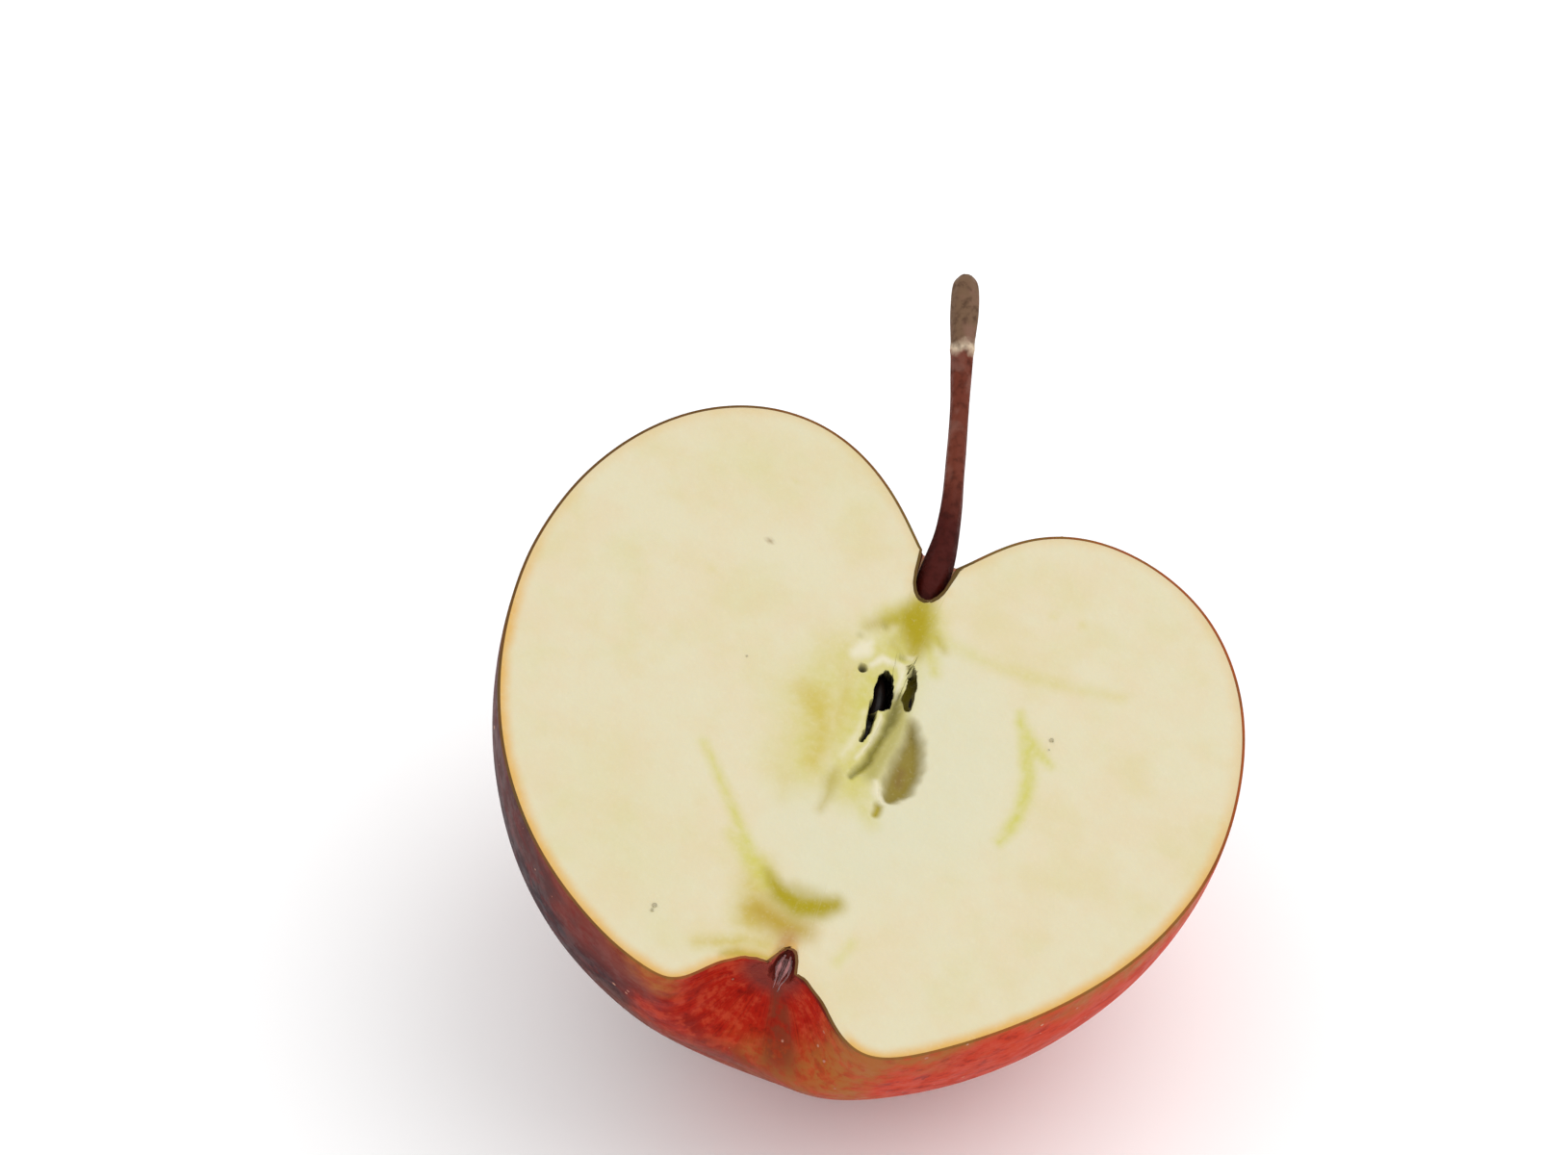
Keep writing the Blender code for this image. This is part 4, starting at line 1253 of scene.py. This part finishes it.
def geometry_tree(name, numbers):
    """A Geometry Nodes tree with these number inputs, a seed and a material."""
    inputs = [("Geometry", "NodeSocketGeometry", None)]
    inputs += [(key, "NodeSocketFloat", value) for key, value in numbers.items()]
    inputs += [("Seed", "NodeSocketInt", 1), ("Finish", "NodeSocketMaterial", None)]
    return new_tree(name, "GeometryNodeTree", inputs, [("Geometry", "NodeSocketGeometry")])


def stand_and_paint(lay, given, smooth=False, **inputs):
    """Stands an instance on every point, makes them real mesh and gives them the material."""
    stand = lay.add("GeometryNodeInstanceOnPoints", inputs)
    made = lay.add("GeometryNodeRealizeInstances", {"Geometry": stand["Instances"]})["Geometry"]
    if smooth:
        made = lay.add("GeometryNodeSetShadeSmooth", {"Geometry": made})["Geometry"]
    painted = lay.add("GeometryNodeSetMaterial", {"Geometry": made, "Material": given["Finish"]})
    lay.add("NodeGroupOutput", {"Geometry": painted["Geometry"]})


def thread_tree():
    """Geometry Nodes: dead threads of the flower on a ring, each with its own lean."""
    tree, lay, given = geometry_tree("threads", {"Length": TUFT_LENGTH, "Radius": THREAD_RADIUS,
                                                 "Lean": THREAD_LEAN})
    thread = lay.add("GeometryNodeMeshCone", {"Vertices": 6, "Side Segments": 4,
                                              "Radius Bottom": given["Radius"],
                                              "Depth": given["Length"]})
    points = lay.add("GeometryNodeMeshToPoints", {"Mesh": given["Geometry"]})
    draw = lay.add("FunctionNodeRandomValue", {"Min": (-1.0, 0.0, -1.0), "Max": (1.0, 0.0, 1.0),
                                               "Seed": given["Seed"]}, data_type="FLOAT_VECTOR")
    lean = lay.add("ShaderNodeVectorMath", {0: draw["Value"], "Scale": given["Lean"]},
                   operation="SCALE")
    upright = lay.add("ShaderNodeVectorMath", {0: lean[0], 1: (math.pi / 2.0, 0.0, 0.0)},
                      operation="ADD")
    turn = lay.add("FunctionNodeEulerToRotation", {"Euler": upright[0]})
    stand_and_paint(lay, given, Points=points["Points"], Instance=thread["Mesh"],
                    Rotation=turn["Rotation"])
    return tree


def thread_seat():
    """Feet of the threads: points on a ring inside the sepals."""
    mesh = bpy.data.meshes.new("thread_seat")
    ring = [2.0 * math.pi * index / THREAD_COUNT for index in range(THREAD_COUNT)]
    mesh.from_pydata([(TUFT_ACROSS + THREAD_RING * math.cos(turn), TUFT_FOOT - THREAD_FOOT,
                       -TUFT_DEPTH - THREAD_RING * math.sin(turn)) for turn in ring], [], [])
    return new_piece("thread_seat", mesh)


def run_tree(name, seat, tree, **inputs):
    """Runs a Geometry Nodes tree on the object `seat` and keeps the result as a plain mesh."""
    modifier = seat.modifiers.new(name, "NODES")
    modifier.node_group = tree
    sockets = {item.name: item.identifier for item in tree.interface.items_tree
               if item.in_out == "INPUT"}
    for key, value in inputs.items():
        modifier[sockets[key.replace("_", " ").capitalize()]] = value
    bpy.context.view_layer.update()
    solved = seat.evaluated_get(bpy.context.evaluated_depsgraph_get())
    mesh = bpy.data.meshes.new_from_object(solved)
    mesh.name = name
    seat.modifiers.remove(modifier)
    bpy.data.objects.remove(seat)
    return mesh


def sepal_finish(settings):
    return small_finish("dry_sepal", 1400.0, (settings.sepal, tone(120, 66, 60)), 2000.0, (0.7, 0.9),
                        cells=(3500.0, 0.4), sheen_weight=0.4, sheen_roughness=0.5)


class OBJECT_OT_sepals(bpy.types.Operator):
    """Make the dry sepals and threads of the blossom end"""

    bl_idname = "apple_half.sepals"
    bl_label = "Dry sepals"

    def execute(self, context):
        settings = context.scene.apple_small
        finish = sepal_finish(settings)
        piece = new_piece("dry_sepals", sepal_mesh(), finish)
        hand_over(piece, "sepal", "calyx_tuft")
        threads = run_tree("dry_threads", thread_seat(), thread_tree(), seed=settings.seed_number,
                           length=THREAD_SHARE * TUFT_LENGTH, radius=THREAD_RADIUS, lean=THREAD_LEAN,
                           finish=finish)
        threads.transform(POSE)
        hand_over(new_piece("dry_threads", threads), "sepal")
        return {"FINISHED"}


# Scattered pores and beads

def scatter_tree(name, height_share, sides, rings):
    """Geometry Nodes: low domes scattered over the faces that the share attribute allows."""
    tree, lay, given = geometry_tree(name, {"Density": 10000.0, "Radius": 0.0002})
    share = lay.add("GeometryNodeInputNamedAttribute", {"Name": "scatter_share"}, data_type="FLOAT")
    spots = lay.add("GeometryNodeDistributePointsOnFaces",
                    {"Mesh": given["Geometry"], "Seed": given["Seed"],
                     "Density": lay.times(given["Density"], share["Attribute"])})
    ball = lay.add("GeometryNodeMeshUVSphere", {"Segments": sides, "Rings": rings,
                                                "Radius": given["Radius"]})
    dome_shape = lay.add("GeometryNodeTransform", {"Geometry": ball["Mesh"],
                                                   "Scale": (1.0, 1.0, height_share)})
    draw = lay.add("FunctionNodeRandomValue", {2: 0.3, 3: 1.0, "Seed": given["Seed"]},
                   data_type="FLOAT")
    stand_and_paint(lay, given, smooth=True, Points=spots["Points"], Rotation=spots["Rotation"],
                    Instance=dome_shape["Geometry"], Scale=draw[1])
    return tree


# Every fourth point of the skin carries the pores, and none lies lower than this over the floor, mm
PORE_STEP = 4
PORE_CLEARANCE = 1.5


def pore_seat():
    """The outer skin alone, with the share of pores each part of it carries."""
    points = SKIN.points[::PORE_STEP, ::PORE_STEP]
    rows, columns = points.shape[:2]
    mesh = bpy.data.meshes.new("pore_seat")
    mesh.from_pydata([tuple(p) for p in points.reshape(-1, 3)], [], grid_faces(0, rows, columns))
    close_up(mesh)
    mesh.transform(POSE)
    off_floor = np.array([vert.co.z > PORE_CLEARANCE * MM for vert in mesh.vertices])
    turn = SKIN.turn[::PORE_STEP, ::PORE_STEP].ravel()
    add_values(mesh, "scatter_share", np.clip(np.sin(turn) ** 0.5, 0.0, 1.0) * off_floor)
    return new_piece("pore_seat", mesh)


def pore_finish(settings):
    return small_finish("skin_pore", 300.0, (settings.speck, tone(176, 92, 70)), 900.0, (0.5, 0.7))


class OBJECT_OT_skin_pores(bpy.types.Operator):
    """Scatter the pale breathing pores over the skin"""

    bl_idname = "apple_half.skin_pores"
    bl_label = "Skin pores"

    def execute(self, context):
        settings = context.scene.apple_skin
        mesh = run_tree("skin_pores", pore_seat(), scatter_tree("pores", 0.10, 8, 4),
                        density=settings.speck_count / SQUARE_CM, radius=settings.speck_radius,
                        seed=context.scene.apple_small.seed_number, finish=pore_finish(settings))
        hand_over(new_piece("skin_pores", mesh), "skin")
        return {"FINISHED"}


BEAD_SPOTS = [(-13.9, 4.3, 2.0), (-8.0, -27.4, 3.5), (-12.0, -26.0, 2.5), (9.0, 19.0, 2.0),
              (17.0, 7.0, 2.5), (-20.0, -9.0, 2.5)]
BEAD_LIFT = 0.05
BEAD_STEPS = 12


def bead_seat():
    """Patches just over the cut face where a little juice has gathered."""
    mesh = bpy.data.meshes.new("bead_seat")
    points = []
    faces = []
    shares = [step / BEAD_STEPS - 0.5 for step in range(BEAD_STEPS + 1)]
    for x, y, reach in BEAD_SPOTS:
        faces += grid_faces(len(points), len(shares), len(shares))
        points += [(x + reach * across, y + reach * along, BEAD_LIFT - RIM_DROP)
                   for along in shares for across in shares]
    mesh.from_pydata(points, [], faces)
    add_values(mesh, "scatter_share", np.ones(len(points)))
    mesh.transform(POSE)
    return new_piece("bead_seat", mesh)


def juice_finish():
    return small_finish("juice", 300.0, (tone(255, 252, 240), tone(250, 246, 226)), 900.0,
                        (0.02, 0.08), transmission_weight=0.9, ior=1.34)


class OBJECT_OT_juice_beads(bpy.types.Operator):
    """Scatter the few small beads of juice on the cut face"""

    bl_idname = "apple_half.juice_beads"
    bl_label = "Juice beads"

    def execute(self, context):
        settings = context.scene.apple_small
        mesh = run_tree("juice_beads", bead_seat(), scatter_tree("beads", 0.55, 16, 10),
                        density=settings.bead_density / SQUARE_CM, radius=settings.bead_radius,
                        seed=settings.seed_number, finish=juice_finish())
        hand_over(new_piece("juice_beads", mesh), "flesh")
        return {"FINISHED"}


# Stage

FLOOR_SIZE = 6.0
KEY_PLACE = (0.55, 0.25, 0.95)
KEY_SIZE = 1.3
FILL_PLACE = (-0.9, -0.5, 0.7)
FILL_SIZE = 0.8
LIGHT_AIM = (0.0, 0.0, 0.03)


def soft_light(name, place, size, power):
    light = bpy.data.lights.new(name, "AREA")
    light.shape = "DISK"
    light.size = size
    light.energy = power * LIGHT_LEVEL
    lamp = bpy.data.objects.new(name, light)
    lamp.location = place
    lamp.rotation_euler = (Vector(LIGHT_AIM) - Vector(place)).to_track_quat("-Z", "Y").to_euler()
    bpy.context.scene.collection.objects.link(lamp)


def set_camera():
    """Level camera that sees the core's middle at its pixel of the photograph's frame."""
    core = POSE @ Vector((CORE_ACROSS, 0.0, 0.0))
    back = Vector((math.sin(CAMERA_AZIMUTH) * math.cos(CAMERA_ELEVATION),
                   -math.cos(CAMERA_AZIMUTH) * math.cos(CAMERA_ELEVATION),
                   math.sin(CAMERA_ELEVATION)))
    right = Vector((math.cos(CAMERA_AZIMUTH), math.sin(CAMERA_AZIMUTH), 0.0))
    up = back.cross(right)
    focal = LENS / SENSOR * FRAME_WIDTH
    across = (CORE_PIXEL[0] - FRAME_WIDTH / 2.0) / focal
    above = (FRAME_HEIGHT / 2.0 - CORE_PIXEL[1]) / focal
    camera = bpy.data.cameras.new("camera")
    camera.lens = LENS
    camera.sensor_width = SENSOR
    camera.clip_start = 0.01
    camera.clip_end = 50.0
    seen = bpy.data.objects.new("camera", camera)
    place = core + CAMERA_DISTANCE * MM * (back - across * right - above * up)
    turn = Matrix((right, up, back)).transposed().to_4x4()
    seen.matrix_world = Matrix.Translation(place) @ turn
    bpy.context.scene.collection.objects.link(seen)
    bpy.context.scene.camera = seen


def floor_finish(settings):
    finish, lay, place = new_finish("floor")
    pale = tuple(settings.floor)
    tint = lay.blend(lay.noise(place, 3.0), pale, tuple(0.99 * value for value in pale))
    return dress(finish, base_color=tint, roughness=0.8)


class OBJECT_OT_stage(bpy.types.Operator):
    """Set the pale floor, the soft light and the camera"""

    bl_idname = "apple_half.stage"
    bl_label = "Stage"

    def execute(self, context):
        settings = context.scene.apple_stage
        bm = bmesh.new()
        bmesh.ops.create_grid(bm, x_segments=8, y_segments=8, size=FLOOR_SIZE / 2.0)
        mesh = bpy.data.meshes.new("floor")
        bm.to_mesh(mesh)
        bm.free()
        new_piece("floor", mesh, floor_finish(settings))
        sky = bpy.data.worlds.new("sky")
        sky.use_nodes = True
        background = sky.node_tree.nodes["Background"]
        background.inputs["Color"].default_value = (1.0, 1.0, 1.0, 1.0)
        background.inputs["Strength"].default_value = settings.sky_strength * LIGHT_LEVEL
        context.scene.world = sky
        soft_light("key", KEY_PLACE, KEY_SIZE, settings.key_power)
        soft_light("fill", FILL_PLACE, FILL_SIZE, settings.fill_power)
        context.scene.view_settings.view_transform = "Standard"
        set_camera()
        return {"FINISHED"}


class VIEW3D_PT_apple_half(bpy.types.Panel):
    """Buttons and colours of the apple half in the sidebar"""

    bl_idname = "VIEW3D_PT_apple_half"
    bl_label = "Apple Half"
    bl_space_type = "VIEW_3D"
    bl_region_type = "UI"
    bl_category = "Apple Half"

    def draw(self, context):
        for name in STEPS:
            self.layout.operator("apple_half." + name)
        for key, group in SETTINGS.items():
            box = self.layout.box()
            for field in group.__annotations__:
                box.prop(getattr(context.scene, key), field)


STEPS = ["cut_flesh", "fruit_skin", "skin_pores", "stem", "seeds", "sepals", "juice_beads", "stage"]
SETTINGS = {
    "apple_flesh": FleshSettings,
    "apple_skin": SkinSettings,
    "apple_stem": StemSettings,
    "apple_small": SmallPartSettings,
    "apple_stage": StageSettings,
}
CLASSES = [*SETTINGS.values(), OBJECT_OT_cut_flesh, OBJECT_OT_fruit_skin, OBJECT_OT_skin_pores,
           OBJECT_OT_stem, OBJECT_OT_seeds, OBJECT_OT_sepals, OBJECT_OT_juice_beads,
           OBJECT_OT_stage, VIEW3D_PT_apple_half]


def register():
    for made in CLASSES:
        bpy.utils.register_class(made)
    for key, group in SETTINGS.items():
        setattr(bpy.types.Scene, key, PointerProperty(type=group))


def unregister():
    for key in SETTINGS:
        delattr(bpy.types.Scene, key)
    for made in reversed(CLASSES):
        bpy.utils.unregister_class(made)


def main():
    register()
    for name in STEPS:
        getattr(bpy.ops.apple_half, name)()
    bpy.context.view_layer.update()


if __name__ == "__main__":
    main()
